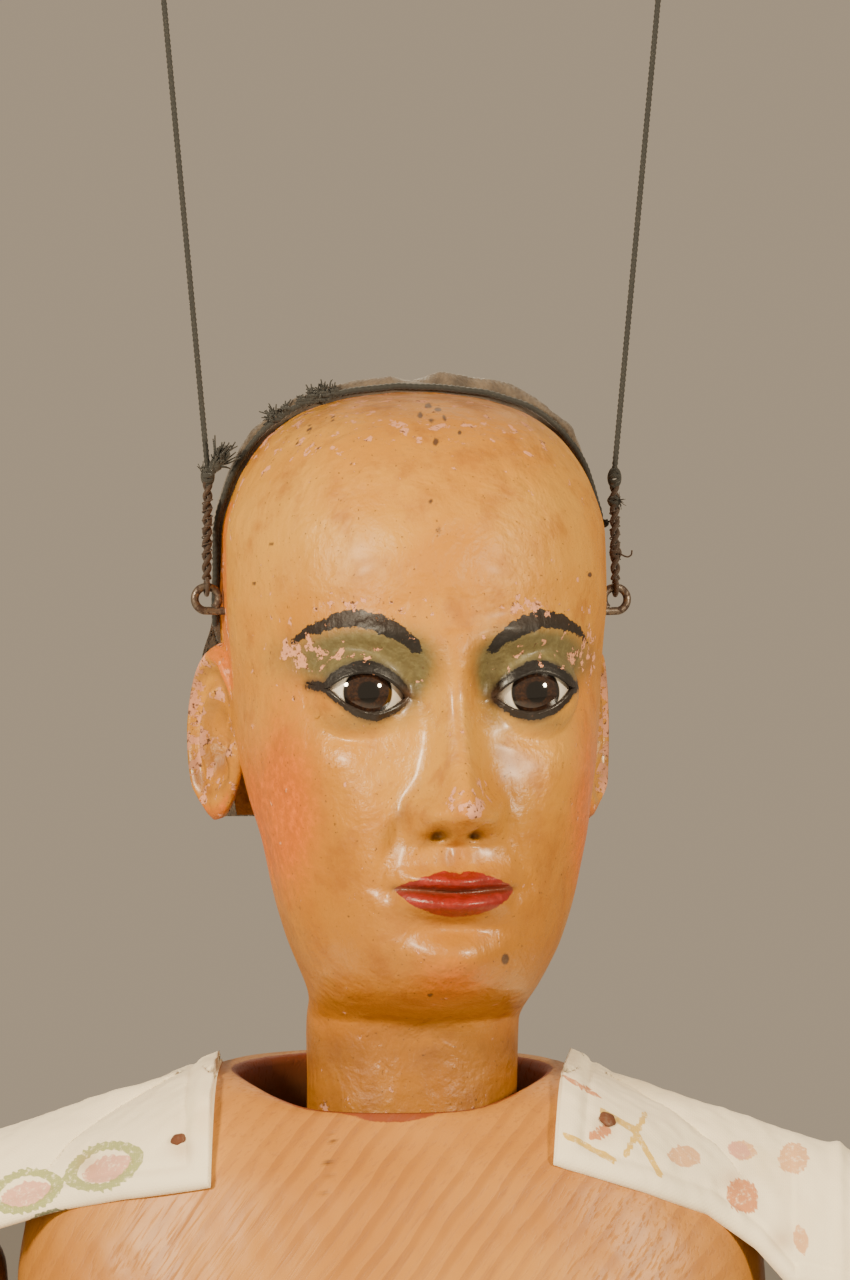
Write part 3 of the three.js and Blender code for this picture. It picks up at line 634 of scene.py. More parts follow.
def add_bump(graph: Graph, shader: Node, layers: Sequence[tuple]) -> None:
    """Stacks Bump nodes into a shader's normal.

    Args:
        graph: The material's graph.
        shader: Its Principled shader.
        layers: (height socket, strength, distance in metres) of each.
    """
    last = None
    for height, strength, distance in layers:
        made = graph.node("Bump", {"Height": height, "Strength": strength, "Distance": distance})
        if last is not None:
            graph.feed(made.inputs["Normal"], last)
        last = made.outputs["Normal"]
    graph.feed(shader.inputs["Normal"], last)


# Heights in metres over which the lower face and neck turn darker, as painted shade from light above.
JAW_SHADE_TOP, JAW_SHADE_FOOT = -0.160, -0.206
SATIN_FOOT, SATIN_TOP = -0.154, -0.138


@dataclass(frozen=True)
class PaintedSkin:
    """Varnished ochre skin paint, chipped to the ground, with theatre make-up where the masks say, painted
    shade low on the face and down the neck, and painted shade with dirt in creases and holes.
    """

    name: str
    effects: Effects
    made_up: bool = True
    skin: tuple = (0.52, 0.205, 0.012)
    pale: tuple = (0.62, 0.30, 0.036)
    tan: tuple = (0.33, 0.105, 0.008)
    rouge: tuple = (0.54, 0.110, 0.004)
    shade: tuple = (0.098, 0.092, 0.040)
    ink: tuple = (0.006, 0.005, 0.006)
    smoke: tuple = (0.030, 0.027, 0.026)
    lip: tuple = (0.21, 0.008, 0.005)
    ground: tuple = (0.68, 0.31, 0.18)
    # Dirt, also the colour of the painted shade in holes, creases and hollows.
    dirt_and_shade: tuple = (0.10, 0.045, 0.02)

    def build(self) -> Material:
        """Makes the material."""
        made, g, shader = new_material(self.name, Roughness=0.34, Coat_Weight=0.35, Coat_Roughness=0.20,
                                       Specular_IOR_Level=0.40)
        place = g.object_place()
        cloud = g.noise(place, 28.0, 4.0)
        blotch = g.noise(place, 95.0, 5.0, 0.65)
        streak = g.noise(g.object_place(scale=(1.0, 1.0, 0.35)), 260.0, 4.0, 0.6, 0.4)
        colour = g.mix(g.ramp(cloud, 0.38, 0.68), self.skin, self.pale)
        colour = g.mix(g.times(g.ramp(blotch, 0.48, 0.70), 0.6), colour, self.tan)
        colour = g.mix(g.times(g.ramp(streak, 0.55, 0.8), 0.22), colour, self.pale)
        height = g.node("SeparateXYZ", {0: place}).outputs["Z"]
        # Painted shade: the lower face and neck are mixed towards tan below these heights.
        low_shade = g.times(g.ramp(height, JAW_SHADE_TOP, JAW_SHADE_FOOT), 0.62)
        colour = g.mix(low_shade, colour, self.tan)
        if self.made_up:
            colour = self._make_up(g, colour, place)
        chip_amount = g.value_of("chip")
        chips = self.effects.use(g, self.effects.chips,
                                 {"Place": place, "Scale": 330.0, "Amount": chip_amount})
        specks = self.effects.use(g, self.effects.chips, {"Place": place, "Scale": 1100.0, "Amount": 0.37})
        ground = g.mix(g.ramp(g.noise(place, 900.0), 0.56, 0.66), self.ground, self.dirt_and_shade)
        colour = g.mix(chips.outputs["Mask"], colour, ground)
        colour = g.mix(g.times(specks.outputs["Mask"], 0.75), colour, self.dirt_and_shade)
        hole = g.value_of("pit")
        # Painted shade: the holes are dark spots of colour, not cut.
        colour = g.mix(g.ramp(hole, 0.4, 0.7), colour, self.dirt_and_shade)
        # Painted shade under the chin, in creases and down the neck into the socket, with other darkening
        # from the same mask.
        dirt_and_shade_low = g.times(g.value_of("grime"), g.plus(0.35, blotch))
        colour = g.mix(g.times(dirt_and_shade_low, 0.8, clamp=True), colour, self.dirt_and_shade)
        g.feed(shader.inputs["Base Color"], colour)
        satin = g.ramp(height, SATIN_FOOT, SATIN_TOP)
        rough = g.plus(0.34, g.times(g.ramp(blotch, 0.35, 0.75), 0.20))
        rough = g.plus(rough, g.times(satin, 0.12))
        rough = g.plus(rough, g.times(chips.outputs["Mask"], 0.4), clamp=True)
        g.feed(shader.inputs["Roughness"], rough)
        coat = g.times(g.minus(1.0, chips.outputs["Mask"]), g.ramp(cloud, 0.2, 0.7))
        varnish = g.minus(0.34, g.times(satin, 0.26))
        g.feed(shader.inputs["Coat Weight"], g.times(coat, varnish))
        sunk = g.plus(chips.outputs["Mask"], g.times(specks.outputs["Mask"], 0.6))
        brushed = g.noise(g.object_place(scale=(1.0, 1.0, 0.3)), 900.0, 3.0)
        add_bump(g, shader, [
            (g.minus(1.0, sunk), 0.55, 0.00035),
            (brushed, 0.40, 0.00025),
            (g.noise(place, 420.0, 4.0, 0.6), 0.52, 0.0007),
            (g.noise(place, 130.0, 3.0, 0.5, 0.6), 0.46, 0.0018),
        ])
        return made

    def _make_up(self, g: Graph, colour: Socket, place: Socket
                 ) -> Socket:
        """Lays rouge, eye shadow, lip paint, brows and liner over the skin, each with a worn edge.

        Args:
            g: The material's graph.
            colour: The skin's colour.
            place: Object coordinates.

        Returns:
            The painted colour.
        """
        worn = g.noise(place, 620.0, 5.0, 0.7)
        layers = (("rouge", self.rouge, 0.80, 0.22), ("shade", self.shade, 0.93, 0.14),
                  ("lip", self.lip, 0.97, 0.5), ("brow", self.ink, 0.97, 1.1), ("liner", self.ink, 0.95, 0.9))
        for name, paint, most, wear in layers:
            mask = g.value_of(name)
            edge = g.minus(mask, g.times(g.minus(1.0, worn), wear))
            if name in ("lip", "brow", "liner"):
                rough_edge = g.minus(mask, g.times(g.minus(0.5, worn), wear))
                cover = g.ramp(rough_edge, 0.45, 0.53)
            else:
                cover = g.ramp(edge, 0.0, 0.95)
            if name == "liner":
                smoke = g.ramp(g.minus(mask, g.times(worn, 0.16)), -0.02, 0.46)
                colour = g.mix(g.times(smoke, 0.62), colour, self.smoke)
            tone = g.mix(g.ramp(worn, 0.4, 0.8), paint, tuple(min(1.0, c * 1.7 + 0.004) for c in paint))
            colour = g.mix(g.times(cover, most), colour, tone)
        return colour


@dataclass(frozen=True)
class CarvedWood:
    """Bare or stained softwood with slanting grain, pores, a hand-dulled surface and painted shade inside the
    neck socket.
    """

    name: str
    effects: Effects
    pale: tuple = (0.53, 0.236, 0.044)
    mid: tuple = (0.42, 0.164, 0.024)
    dark: tuple = (0.24, 0.082, 0.019)
    bands: float = 74.0
    turn: tuple = (0.15, -0.62, 0.1)
    roughness: float = 0.5
    rim: tuple = (0.20, 0.030, 0.012)
    # Painted shade inside the neck socket, also the colour of the crack.
    socket: tuple = (0.125, 0.050, 0.019)
    marked: bool = False

    def build(self) -> Material:
        """Makes the material."""
        made, g, shader = new_material(self.name, Roughness=self.roughness, Specular_IOR_Level=0.42)
        place = g.object_place(turn=self.turn)
        grain = self.effects.use(g, self.effects.grain, {"Place": place, "Bands": self.bands, "Bend": 5.0,
                                                         "Pores": 1500.0})
        plain = g.object_place()
        cloud = g.noise(plain, 22.0, 4.0)
        colour = g.mix(g.ramp(cloud, 0.35, 0.7), self.mid, self.pale)
        colour = g.mix(g.times(grain.outputs["Bands"], 0.22), colour, self.pale)
        late = g.minus(1.0, g.ramp(grain.outputs["Bands"], 0.0, 0.35))
        patchy = g.times(late, g.ramp(g.noise(plain, 35.0), 0.3, 0.7))
        colour = g.mix(g.times(patchy, 0.36), colour, self.dark)
        colour = g.mix(g.times(grain.outputs["Pores"], 0.30), colour, self.dark)
        stain = g.ramp(g.noise(plain, 60.0, 6.0, 0.7), 0.55, 0.8)
        colour = g.mix(g.times(stain, 0.35), colour, self.dark)
        layers = [(grain.outputs["Height"], 0.22, 0.00025), (g.noise(plain, 500.0, 4.0), 0.16, 0.0003)]
        if self.marked:
            worn = g.noise(plain, 520.0, 5.0, 0.7)
            red = g.ramp(g.minus(g.value_of("rim"), g.times(worn, 0.5)), 0.12, 0.3)
            colour = g.mix(g.times(red, 0.85), colour, self.rim)
            # Painted shade inside the neck socket.
            colour = g.mix(g.times(g.value_of("socket"), 0.93), colour, self.socket)
            crack = g.value_of("crack")
            colour = g.mix(g.times(crack, 0.9), colour, self.socket)
            layers.append((g.minus(1.0, crack), 0.6, 0.0005))
        g.feed(shader.inputs["Base Color"], colour)
        g.feed(shader.inputs["Roughness"], g.plus(self.roughness - 0.08,
                                                  g.times(grain.outputs["Pores"], 0.25)))
        add_bump(g, shader, layers)
        return made


@dataclass(frozen=True)
class Metal:
    """Old wire, pins and tack heads: dull metal under patches of rust or black."""

    name: str
    effects: Effects
    bright: tuple = (0.42, 0.38, 0.34)
    rust: tuple = (0.12, 0.055, 0.028)
    amount: float = 0.5
    metallic: float = 0.9
    roughness: float = 0.38

    def build(self) -> Material:
        """Makes the material."""
        made, g, shader = new_material(self.name, Roughness=self.roughness, Metallic=self.metallic)
        place = g.object_place()
        patch = g.ramp(g.noise(place, 900.0, 5.0, 0.65), 0.66 - 0.4 * self.amount, 0.78 - 0.3 * self.amount)
        g.feed(shader.inputs["Base Color"], g.mix(patch, self.bright, self.rust))
        g.feed(shader.inputs["Metallic"], g.minus(self.metallic, g.times(patch, 0.7),
                                                 clamp=True))
        g.feed(shader.inputs["Roughness"], g.plus(self.roughness, g.times(patch, 0.35)))
        add_bump(g, shader, [(g.noise(place, 2500.0, 3.0), 0.35, 0.0001)])
        return made


@dataclass(frozen=True)
class Cord:
    """Waxed thread and braided cord: near black with patches of dusty fibres."""

    name: str
    effects: Effects
    deep: tuple = (0.012, 0.012, 0.010)
    worn: tuple = (0.075, 0.066, 0.050)

    def build(self) -> Material:
        """Makes the material."""
        made, g, shader = new_material(self.name, Roughness=0.72, Sheen_Weight=0.25, Sheen_Roughness=0.5)
        place = g.object_place()
        fuzz = g.noise(place, 3200.0, 3.0, 0.7)
        long = g.noise(place, 260.0, 3.0)
        g.feed(shader.inputs["Base Color"],
               g.mix(g.times(g.ramp(fuzz, 0.5, 0.75), g.ramp(long, 0.2, 0.8)), self.deep, self.worn))
        add_bump(g, shader, [(fuzz, 0.6, 0.00012)])
        return made


@dataclass(frozen=True)
class WigBase:
    """Dusty grey-brown cloth of the cap, a coarse weave with lint and rubbed patches."""

    name: str
    effects: Effects
    deep: tuple = (0.042, 0.028, 0.018)
    mid: tuple = (0.098, 0.066, 0.043)
    lint: tuple = (0.20, 0.145, 0.095)

    def build(self) -> Material:
        """Makes the material."""
        made, g, shader = new_material(self.name, Roughness=0.92, Sheen_Weight=0.35, Sheen_Roughness=0.6)
        flat = g.node("UVMap", uv_map="UVMap").outputs["UV"]
        weave = self.effects.use(g, self.effects.weave, {"Place": flat, "Threads": 1300.0})
        place = g.object_place()
        cloud = g.noise(place, 90.0, 5.0, 0.65)
        colour = g.mix(g.ramp(cloud, 0.35, 0.7), self.deep, self.mid)
        # Painted shade in the gaps between the threads.
        colour = g.mix(g.times(weave.outputs["Gap"], 0.5), colour, self.deep)
        dust = self.effects.use(g, self.effects.dust, {"Place": place, "Scale": 320.0, "Amount": 0.75})
        colour = g.mix(dust.outputs["Mask"], colour, self.lint)
        g.feed(shader.inputs["Base Color"], colour)
        add_bump(g, shader, [(weave.outputs["Height"], 0.5, 0.00025),
                             (g.noise(place, 700.0, 5.0), 0.5, 0.0005)])
        return made


@dataclass(frozen=True)
class PrintedCotton:
    """Cream cotton printed with faded leaves; the print comes from masks on the cloth."""

    name: str
    effects: Effects
    cream: tuple = (0.98, 0.87, 0.64)
    # Yellowing, also the painted shade in the gaps of the weave.
    yellowed_and_shade: tuple = (0.84, 0.66, 0.40)
    inks: tuple = (("leaf_peach", (0.74, 0.38, 0.17)), ("leaf_orange", (0.60, 0.19, 0.045)),
                   ("leaf_pink", (0.70, 0.34, 0.25)), ("line_green", (0.30, 0.34, 0.10)),
                   ("line_yellow", (0.68, 0.42, 0.03)), ("leaf_dark", (0.06, 0.10, 0.05)))

    def build(self) -> Material:
        """Makes the material."""
        made, g, shader = new_material(self.name, Roughness=0.88, Sheen_Weight=0.2, Sheen_Roughness=0.5)
        flat = g.node("UVMap", uv_map="UVMap").outputs["UV"]
        weave = self.effects.use(g, self.effects.weave, {"Place": flat, "Threads": 2400.0})
        place = g.object_place()
        cloud = g.noise(place, 45.0, 5.0, 0.6)
        colour = g.mix(g.times(g.ramp(cloud, 0.5, 0.85), 0.6), self.cream, self.yellowed_and_shade)
        worn = g.ramp(g.noise(place, 900.0, 5.0, 0.7), 0.25, 0.5)
        for name, ink in self.inks:
            crisp = g.ramp(g.value_of(name), 0.34, 0.62)
            colour = g.mix(g.times(g.times(crisp, worn), 0.92), colour, ink)
        # Painted shade in the gaps between the threads.
        colour = g.mix(g.times(weave.outputs["Gap"], 0.14), colour, self.yellowed_and_shade)
        colour = g.mix(g.times(g.value_of("rust"), 0.7), colour, (0.36, 0.14, 0.05))
        g.feed(shader.inputs["Base Color"], colour)
        add_bump(g, shader, [(weave.outputs["Height"], 0.35, 0.00012),
                             (g.noise(place, 300.0, 4.0), 0.25, 0.0006)])
        return made


@dataclass(frozen=True)
class GlassEye:
    """A blown glass eye: white ball, dark brown iris with lighter streaks, black pupil, clear gloss."""

    name: str
    centre: Floats
    gaze: Floats
    white: tuple = (0.78, 0.72, 0.62)
    iris: tuple = (0.012, 0.0045, 0.0025)
    streak: tuple = (0.035, 0.014, 0.006)

    def build(self) -> Material:
        """Makes the material: rings of colour by the distance from the gaze line."""
        made, g, shader = new_material(self.name, Roughness=0.06, Coat_Weight=1.0, Coat_Roughness=0.02,
                                       Specular_IOR_Level=0.6)
        place = g.node("TexCoord").outputs["Object"]
        local = g.node("VectorMath", {0: place, 1: tuple(self.centre)},
                       operation="SUBTRACT").outputs["Vector"]
        direction = g.node("VectorMath", {0: local}, operation="NORMALIZE").outputs["Vector"]
        along = g.node("VectorMath", {0: direction, 1: tuple(self.gaze)},
                       operation="DOT_PRODUCT").outputs["Value"]
        apart = g.math("ARCCOSINE", g.math("MINIMUM", along, 0.99999))
        finely = g.node("VectorMath", {0: direction, "Scale": 0.02}, operation="SCALE").outputs["Vector"]
        spokes = g.noise(finely, 900.0, 3.0)
        iris = g.mix(g.ramp(spokes, 0.4, 0.7), self.iris, self.streak)
        # Painted shade: the white turns tan towards the corners, where the lids shade the ball.
        white = g.mix(g.ramp(apart, 0.62, 1.2), self.white, (0.62, 0.42, 0.30))
        colour = g.mix(g.ramp(apart, 0.545, 0.60), iris, white)
        colour = g.mix(g.times(g.ramp(apart, 0.45, 0.53), g.ramp(apart, 0.60, 0.55)), colour,
                       (0.006, 0.004, 0.003))
        colour = g.mix(g.ramp(apart, 0.27, 0.22), colour, (0.002, 0.0015, 0.0015))
        g.feed(shader.inputs["Base Color"], colour)
        return made


@dataclass(frozen=True)
class Putty:
    """Dry, cracked setting putty."""

    name: str
    pale: tuple = (0.60, 0.52, 0.40)
    dark: tuple = (0.30, 0.22, 0.15)

    def build(self) -> Material:
        """Makes the material."""
        made, g, shader = new_material(self.name, Roughness=0.9)
        cracks = g.noise(g.object_place(), 800.0, 6.0, 0.75)
        g.feed(shader.inputs["Base Color"], g.mix(g.ramp(cracks, 0.4, 0.65), self.dark, self.pale))
        add_bump(g, shader, [(cracks, 0.5, 0.0004)])
        return made


# ------------------------------------------------------- strings and hooks
HOOK_X = 41.5
STRING_RADIUS = 0.55
KNOT_Z = 22.0
STRING_LOW, STRING_HIGH = 24.0, 119.0
STRING_FOOT_X, STRING_TOP_X = 41.3, 50.4


def turn_point(point: Floats) -> tuple[float, ...]:
    """One point of the head, turned with it about the vertical."""
    return tuple(turned(np.array([point], float))[0])


def turned(path: Array, angle: float = HEAD_TURN) -> Array:
    """Turns a path about the vertical."""
    c, s = math.cos(angle), math.sin(angle)
    return np.stack([c * path[:, 0] - s * path[:, 1], s * path[:, 0] + c * path[:, 1], path[:, 2]], axis=1)


def circle_path(centre: Floats, radius: float, first: float, last: float, count: int,
                across: Floats = (1, 0, 0), up: Floats = (0, 0, 1)) -> Array:
    """An arc in a plane."""
    t = np.linspace(first, last, count)[:, None]
    return np.array(centre) + radius * (np.cos(t) * np.array(across, float) + np.sin(t) * np.array(up, float))


def wound_thread(centre: Floats, size: Floats, thread: float, turns: float, wobble: float,
                 seed: int) -> Shell:
    """A knot wound from one thread: a tube round a small ball, its winding axis tilting as it goes.

    Args:
        centre: The knot's middle.
        size: Its half sizes.
        thread: The thread's radius.
        turns: How often it goes round.
        wobble: How much the radius varies.
        seed: Which knot.

    Returns:
        The knot's shell.
    """
    t = np.linspace(0.0, 1.0, int(turns * 22))
    rng = np.random.default_rng(seed)
    round_ = t * turns * 2 * math.pi
    tilt = math.pi * (t * 1.7 + rng.random())
    radius = 1.0 + wobble * np.sin(round_ * 0.37 + rng.random() * 6)
    x = radius * np.cos(round_)
    y = radius * np.sin(round_) * np.cos(tilt)
    z = radius * np.sin(round_) * np.sin(tilt) * 0.9
    points = np.stack([x, y, z], axis=1) * np.array(size) + np.array(centre)
    return tube_along(points, thread, 8)


def frayed_ends(root: Floats, toward: Floats, count: int, length: float, spread: float,
                radius: float, seed: int) -> list[Shell]:
    """Frayed fibres: thin tapered tubes that fan out and curl from one root.

    Args:
        root: Where they start.
        toward: The way the middle one points.
        count: How many.
        length: The mean length.
        spread: How far they fan.
        radius: Each fibre's radius at the root.
        seed: Which tuft.

    Returns:
        A shell for each fibre.
    """
    rng = np.random.default_rng(seed)
    base = np.array(toward, float) / np.linalg.norm(toward)
    made = []
    for _ in range(count):
        way = base + rng.normal(0, spread, 3)
        way = unit(way)
        bend = rng.normal(0, 0.45, 3)
        long = length * rng.uniform(0.55, 1.25)
        t = np.linspace(0, 1, 9)[:, None]
        start = np.array(root) + rng.normal(0, radius * 1.3, 3)
        path = start + way * t * long + bend * (t ** 2) * long * 0.45 \
            + np.sin(t * rng.uniform(5, 11)) * rng.normal(0, 0.04, 3) * long
        made.append(tube_along(path, radius * np.linspace(1.0, 0.55, 9), 5))
    return made


def brush_core(root: Floats, way: Floats, length: float, radius: float) -> Shell:
    """The matted middle of a frayed cord end, a lumpy tube that swells and closes again.

    Args:
        root: Where it starts.
        way: Where it points, a unit vector.
        length: Its length.
        radius: Its radius at its thickest.

    Returns:
        Its shell.
    """
    t = np.linspace(0.0, 1.0, 26)
    path = np.array(root) + np.array(way) * (t * length)[:, None]
    swell = radius * (0.35 + 0.65 * np.sin(math.pi * np.clip(t * 0.86 + 0.04, 0, 1)))
    return tube_along(path, swell * (1.0 + 0.10 * np.sin(19.0 * t)), 16)


def smooth_path(points: Array, count: int) -> Array:
    """A smooth path through a few points, each coordinate a curve of its own."""
    knots, t = np.linspace(0, 1, len(points)), np.linspace(0, 1, count)
    return np.stack([curve_through(t, knots, points[:, k]) for k in range(3)], axis=1)


@dataclass
class HeadStrings:
    """The two head strings with their loops, knots, frayed ends and the links down to the hooks."""

    cord: Material
    brown: Material
    steel: Material

    def build(self) -> None:
        """Makes both sides."""
        for side in Side:
            self._string(side)
            self._link(side)
            self._hook(side)
            LOG.info("string, link and hook %s", side.word)

    def _string(self, side: Side) -> None:
        """One string, its top loop and its wound knot."""
        x0, x1 = side.value * STRING_FOOT_X, side.value * STRING_TOP_X
        t = np.linspace(0, 1, 260)[:, None]
        low, high = np.array([x0, 0, STRING_LOW - 0.6]), np.array([x1, 0, STRING_HIGH + 0.6])
        path = turned(low + (high - low) * t)
        strand = tube_along(path, STRING_RADIUS, 12, ply=2, depth=0.16, pitch=2.1)
        string = make_object(f"string_{side.word}", [strand])
        finish_piece(string, "strings", self.cord, [f"string_{side.word}"])
        top = np.array([x1, 0, 121.0])
        way = np.array([x1 - x0, 0, STRING_HIGH - STRING_LOW])
        way = way / np.linalg.norm(way)
        middle = top + way * 4.9
        aside = np.cross(way, [0, 1, 0])
        loop = turned(circle_path(middle, 3.2, -0.5 * math.pi + 0.18, 1.5 * math.pi - 0.18, 60, aside, way))
        top_at = turned(top[None])[0]
        loop_piece = make_object(f"string_loop_{side.word}", [
            tube_along(loop, STRING_RADIUS, 10, ply=2, depth=0.16, pitch=2.1),
            wound_thread(top_at, (1.25, 1.2, 1.5), 0.42, 6, 0.1, 3 + side.value),
        ])
        finish_piece(loop_piece, "strings", self.cord, [f"string_loop_{side.word}"])
        knot_at = np.array(turn_point((x0, 0, KNOT_Z)))
        shells = [wound_thread(knot_at, (0.95, 0.95, 1.9), 0.40, 8, 0.1, 11 + side.value)]
        if side is Side.RIGHT:
            root = knot_at + np.array([0.6, -0.3, 0.6])
            way = np.array([0.55, -0.2, 0.83])
            shells.append(brush_core(root, way, 4.2, 1.25))
            shells += frayed_ends(root + way * 1.2, way, 110, 4.2, 0.20, 0.26, 5)
            shells += frayed_ends(knot_at + np.array([-0.6, -0.3, 1.0]), (-0.5, -0.3, 0.4), 8, 1.8, 0.5, 0.14,
                                  6)
        else:
            shells.append(wound_thread(knot_at + np.array([-0.1, 0, -4.6]), (0.95, 0.95, 1.2), 0.34, 6, 0.12,
                                       21))
            shells += frayed_ends(knot_at + np.array([0.6, -0.3, -4.4]), (0.5, -0.3, -0.1), 16, 2.0, 0.5,
                                  0.09, 7)
        knot = make_object(f"string_knot_{side.word}", shells)
        finish_piece(knot, "strings", self.cord, [f"string_knot_{side.word}"])

    @staticmethod
    def _metres(point: Floats) -> Vector:
        """A point of the figure in metres of the frame."""
        return Vector((point[0] * MM, point[1] * MM, (point[2] - HANG_Z) * MM))

    def _link(self, side: Side) -> None:
        """The doubled, twisted link from the knot to the hook, with a wire tail and ball knot on one side."""
        foot_x = side.value * HOOK_X
        low = np.array([foot_x, 0, 1.6])
        high = np.array([side.value * STRING_FOOT_X, 0, KNOT_Z - 0.6])
        t = np.linspace(0, 1, 120)[:, None]
        line = low + (high - low) * t
        phase = t[:, 0] * 2 * math.pi * 4.2
        shells = []
        for start in (0.0, math.pi):
            offset = np.stack([np.cos(phase + start), np.sin(phase + start), np.zeros_like(phase)], axis=1)
            shells.append(tube_along(turned(line + offset * 0.52), 0.5, 8))
        eye = circle_path((foot_x, 0, 0), 1.6, 0, 2 * math.pi, 40, (0, 1, 0), (0, 0, 1))
        shells.append(closed_tube(turned(eye), 0.45, 8))
        thread = turned(line[24:96])
        wrap_t = np.linspace(0, 1, 150)
        wrap = np.array([np.interp(wrap_t, np.linspace(0, 1, len(thread)), thread[:, k]) for k in range(3)]).T
        spin = wrap_t * 2 * math.pi * 7
        wrap = wrap + np.stack([np.cos(spin), np.sin(spin), 0 * spin], axis=1) * 1.02
        shells.append(tube_along(wrap, 0.13, 6))
        if side is Side.LEFT:
            knot_at = np.array(turn_point((foot_x, 0, 7.0)))
            shells.append(wound_thread(knot_at, (0.9, 0.9, 1.3), 0.3, 6, 0.1, 31))
            curl = [(0.4, -0.6, 0.3), (1.3, -1.0, -0.5), (2.4, -1.2, -0.9), (3.2, -1.2, -0.4),
                    (3.3, -1.1, 0.4)]
            shells.append(tube_along(smooth_path(np.array(curl) + knot_at, 40), 0.18, 6))
        link = make_object(f"hook_link_{side.word}", shells)
        finish_piece(link, "strings", self.brown, [f"hook_link_{side.word}"])

    def _hook(self, side: Side) -> None:
        """One open screw hook: an open ring of wire on a shank that goes into the temple."""
        x = side.value * HOOK_X
        ring = circle_path((x, 0, -2.4), 2.4, -0.5 * math.pi, 1.5 * math.pi - 0.75, 48)
        inward = -side.value
        shank_t = np.linspace(0, 1, 24)[:, None]
        shank = np.array([x, 0, -4.8]) + np.array([inward * 14.0, 0, 0]) * shank_t
        if side is Side.RIGHT:
            ring[:, 0] = 2 * x - ring[:, 0]
        path = np.concatenate([shank[::-1][:-2], ring[2:]])
        hook = make_object(f"temple_hook_{side.word}", [tube_along(turned(path), 0.8, 12)])
        finish_piece(hook, "head", self.steel, [f"temple_hook_{side.word}"])


# -------------------------------------------------------------------- head
SEAM_Y, SEAM_LEAN, NAPE_Z = 6.0, 0.25, -46.0
EYE_X, EYE_Y, EYE_Z, EYE_RADIUS = 16.4, -37.5, -20.8, 8.8
LID_HALF_WIDTH, LID_HALF_HEIGHT, LID_COVER = 7.7, 3.9, 1.25
NECK_FOOT_Z = -126.0
FRONT_CROWDING = 0.33  # how much closer the columns stand on the face than behind, in radians
MOUTH_Z, MOUTH_HALF_WIDTH = -59.2, 12.0
# height, half width, front y, back y
SKULL_TOP_ROWS = (
    (-52, 31.4, -48.7, 22), (-40, 34, -48.6, 33), (-28, 36, -47.7, 41), (-14, 37, -48.5, 46),
    (-2, 38, -48.5, 48), (10, 38, -46, 47.5), (20, 35.5, -41, 43.5), (28, 31, -33.5, 37), (34, 24, -24.5, 28),
    (37.5, 14, -14, 17), (38.8, 4, -4, 6),
)
JAW_ROWS = (
    (-126, 20.4, -20.4, 20.4), (-124, 21.2, -21.2, 21.2), (-118, 21.2, -21.2, 21.2), (-100, 21, -21, 21),
    (-90, 21.2, -21.5, 21.3), (-86, 21.3, -23.4, 21.5), (-84, 21.5, -28.5, 21.6), (-82.2, 21.8, -35.6, 21.7),
    (-80.6, 22.3, -40.6, 21.8), (-78.6, 23.1, -44.4, 21.9), (-75, 24.7, -47.2, 22), (-70, 26.8, -48.7, 22),
    (-62, 29.2, -49, 22),
)
# across, up, half width, half height, outwards; each is laid on both sides of the middle
FACE_HILLS = (
    (0, 8, 24, 13, 1.4), (15, -9.5, 11, 3.4, 1.9), (0, -13, 5.5, 5, 0.9), (16.6, -19.5, 9.5, 6.2, -5.2),
    (6.6, -20, 2.8, 5.5, -2.4), (0, -42.6, 4.0, 3.7, 1.7), (7.0, -44.4, 2.7, 3.2, 4.6),
    (3.5, -48.0, 1.7, 1.35, -5.2), (10.3, -43.6, 1.5, 3.4, -0.8), (0, -52.2, 1.5, 2.8, -0.8),
    (2.6, -52.6, 1.2, 2.8, 0.45), (0, -58, 14, 8, 2.6), (0, -66.6, 9, 2.5, -2.1), (0, -73.4, 9.5, 5.6, 3.0),
    (25, -34.5, 8, 6.5, 2.6), (19, -44, 8, 8, 1.5), (24.5, -57, 6, 9, -1.7), (12.8, -59.6, 1.5, 1.7, -1.1),
    (33, -11, 5, 9, -1.2), (16.6, -29.6, 7, 1.3, -0.5),
)


def lid_gap(x: Array) -> Array:
    """Half height of the almond between the lids at a distance across: rise times (1 - u squared).

    Args:
        x: Places across the face, on either side.

    Returns:
        The half height, opening up again beyond the corners where it only spaces the rows.
    """
    u = np.abs((np.abs(x) - EYE_X) / LID_HALF_WIDTH)
    inside = np.maximum(LID_HALF_HEIGHT * (1 - u ** 1.9), 0.05)
    return np.where(u < 1, inside, 0.05 + (LID_HALF_HEIGHT - 0.05) * smoothstep(1.0, 2.1, u))


def lid_middle(x: Array) -> Array:
    """Height of the almond's middle line, a little higher at the outer corner."""
    return EYE_Z + 0.11 * np.clip(np.abs(x) - EYE_X, -9, 12)


def nose_rise(x: Array, z: Array) -> Array:
    """The nose's height over the face: a ridge whose height and width change from bridge to base."""
    levels = (-50.5, -48.8, -46.8, -44, -40.5, -33, -23, -14, -8)
    height = curve_through(z, levels, (0.0, 3.4, 10.6, 13.6, 12.6, 8.4, 4.6, 2.6, 0.0))
    width = curve_through(z, levels, (6, 6.4, 6.6, 6.4, 5.4, 4.2, 3.5, 4.2, 6))
    return height * np.exp(-np.abs(x / width) ** 2.5)


def lip_rise(x: Array, z: Array) -> Array:
    """Both lips as two soft rolls that taper to the corners, with the line of the mouth between them."""
    u = np.clip(np.abs(x) / MOUTH_HALF_WIDTH, 0, 1.4)
    taper = np.clip(1 - u ** 2.2, 0, None)
    line = MOUTH_Z - 0.25 * np.cos(x / 3.6) * taper + 0.5 * u ** 2
    upper = 2.7 * taper * ridge(z, line + 2.1, 1.7) * (1 + 0.12 * np.cos(x / 1.9))
    lower = 3.1 * taper ** 0.8 * ridge(z, line - 2.5, 2.0)
    return upper + lower - 1.9 * taper ** 0.4 * ridge(z, line, 0.55)


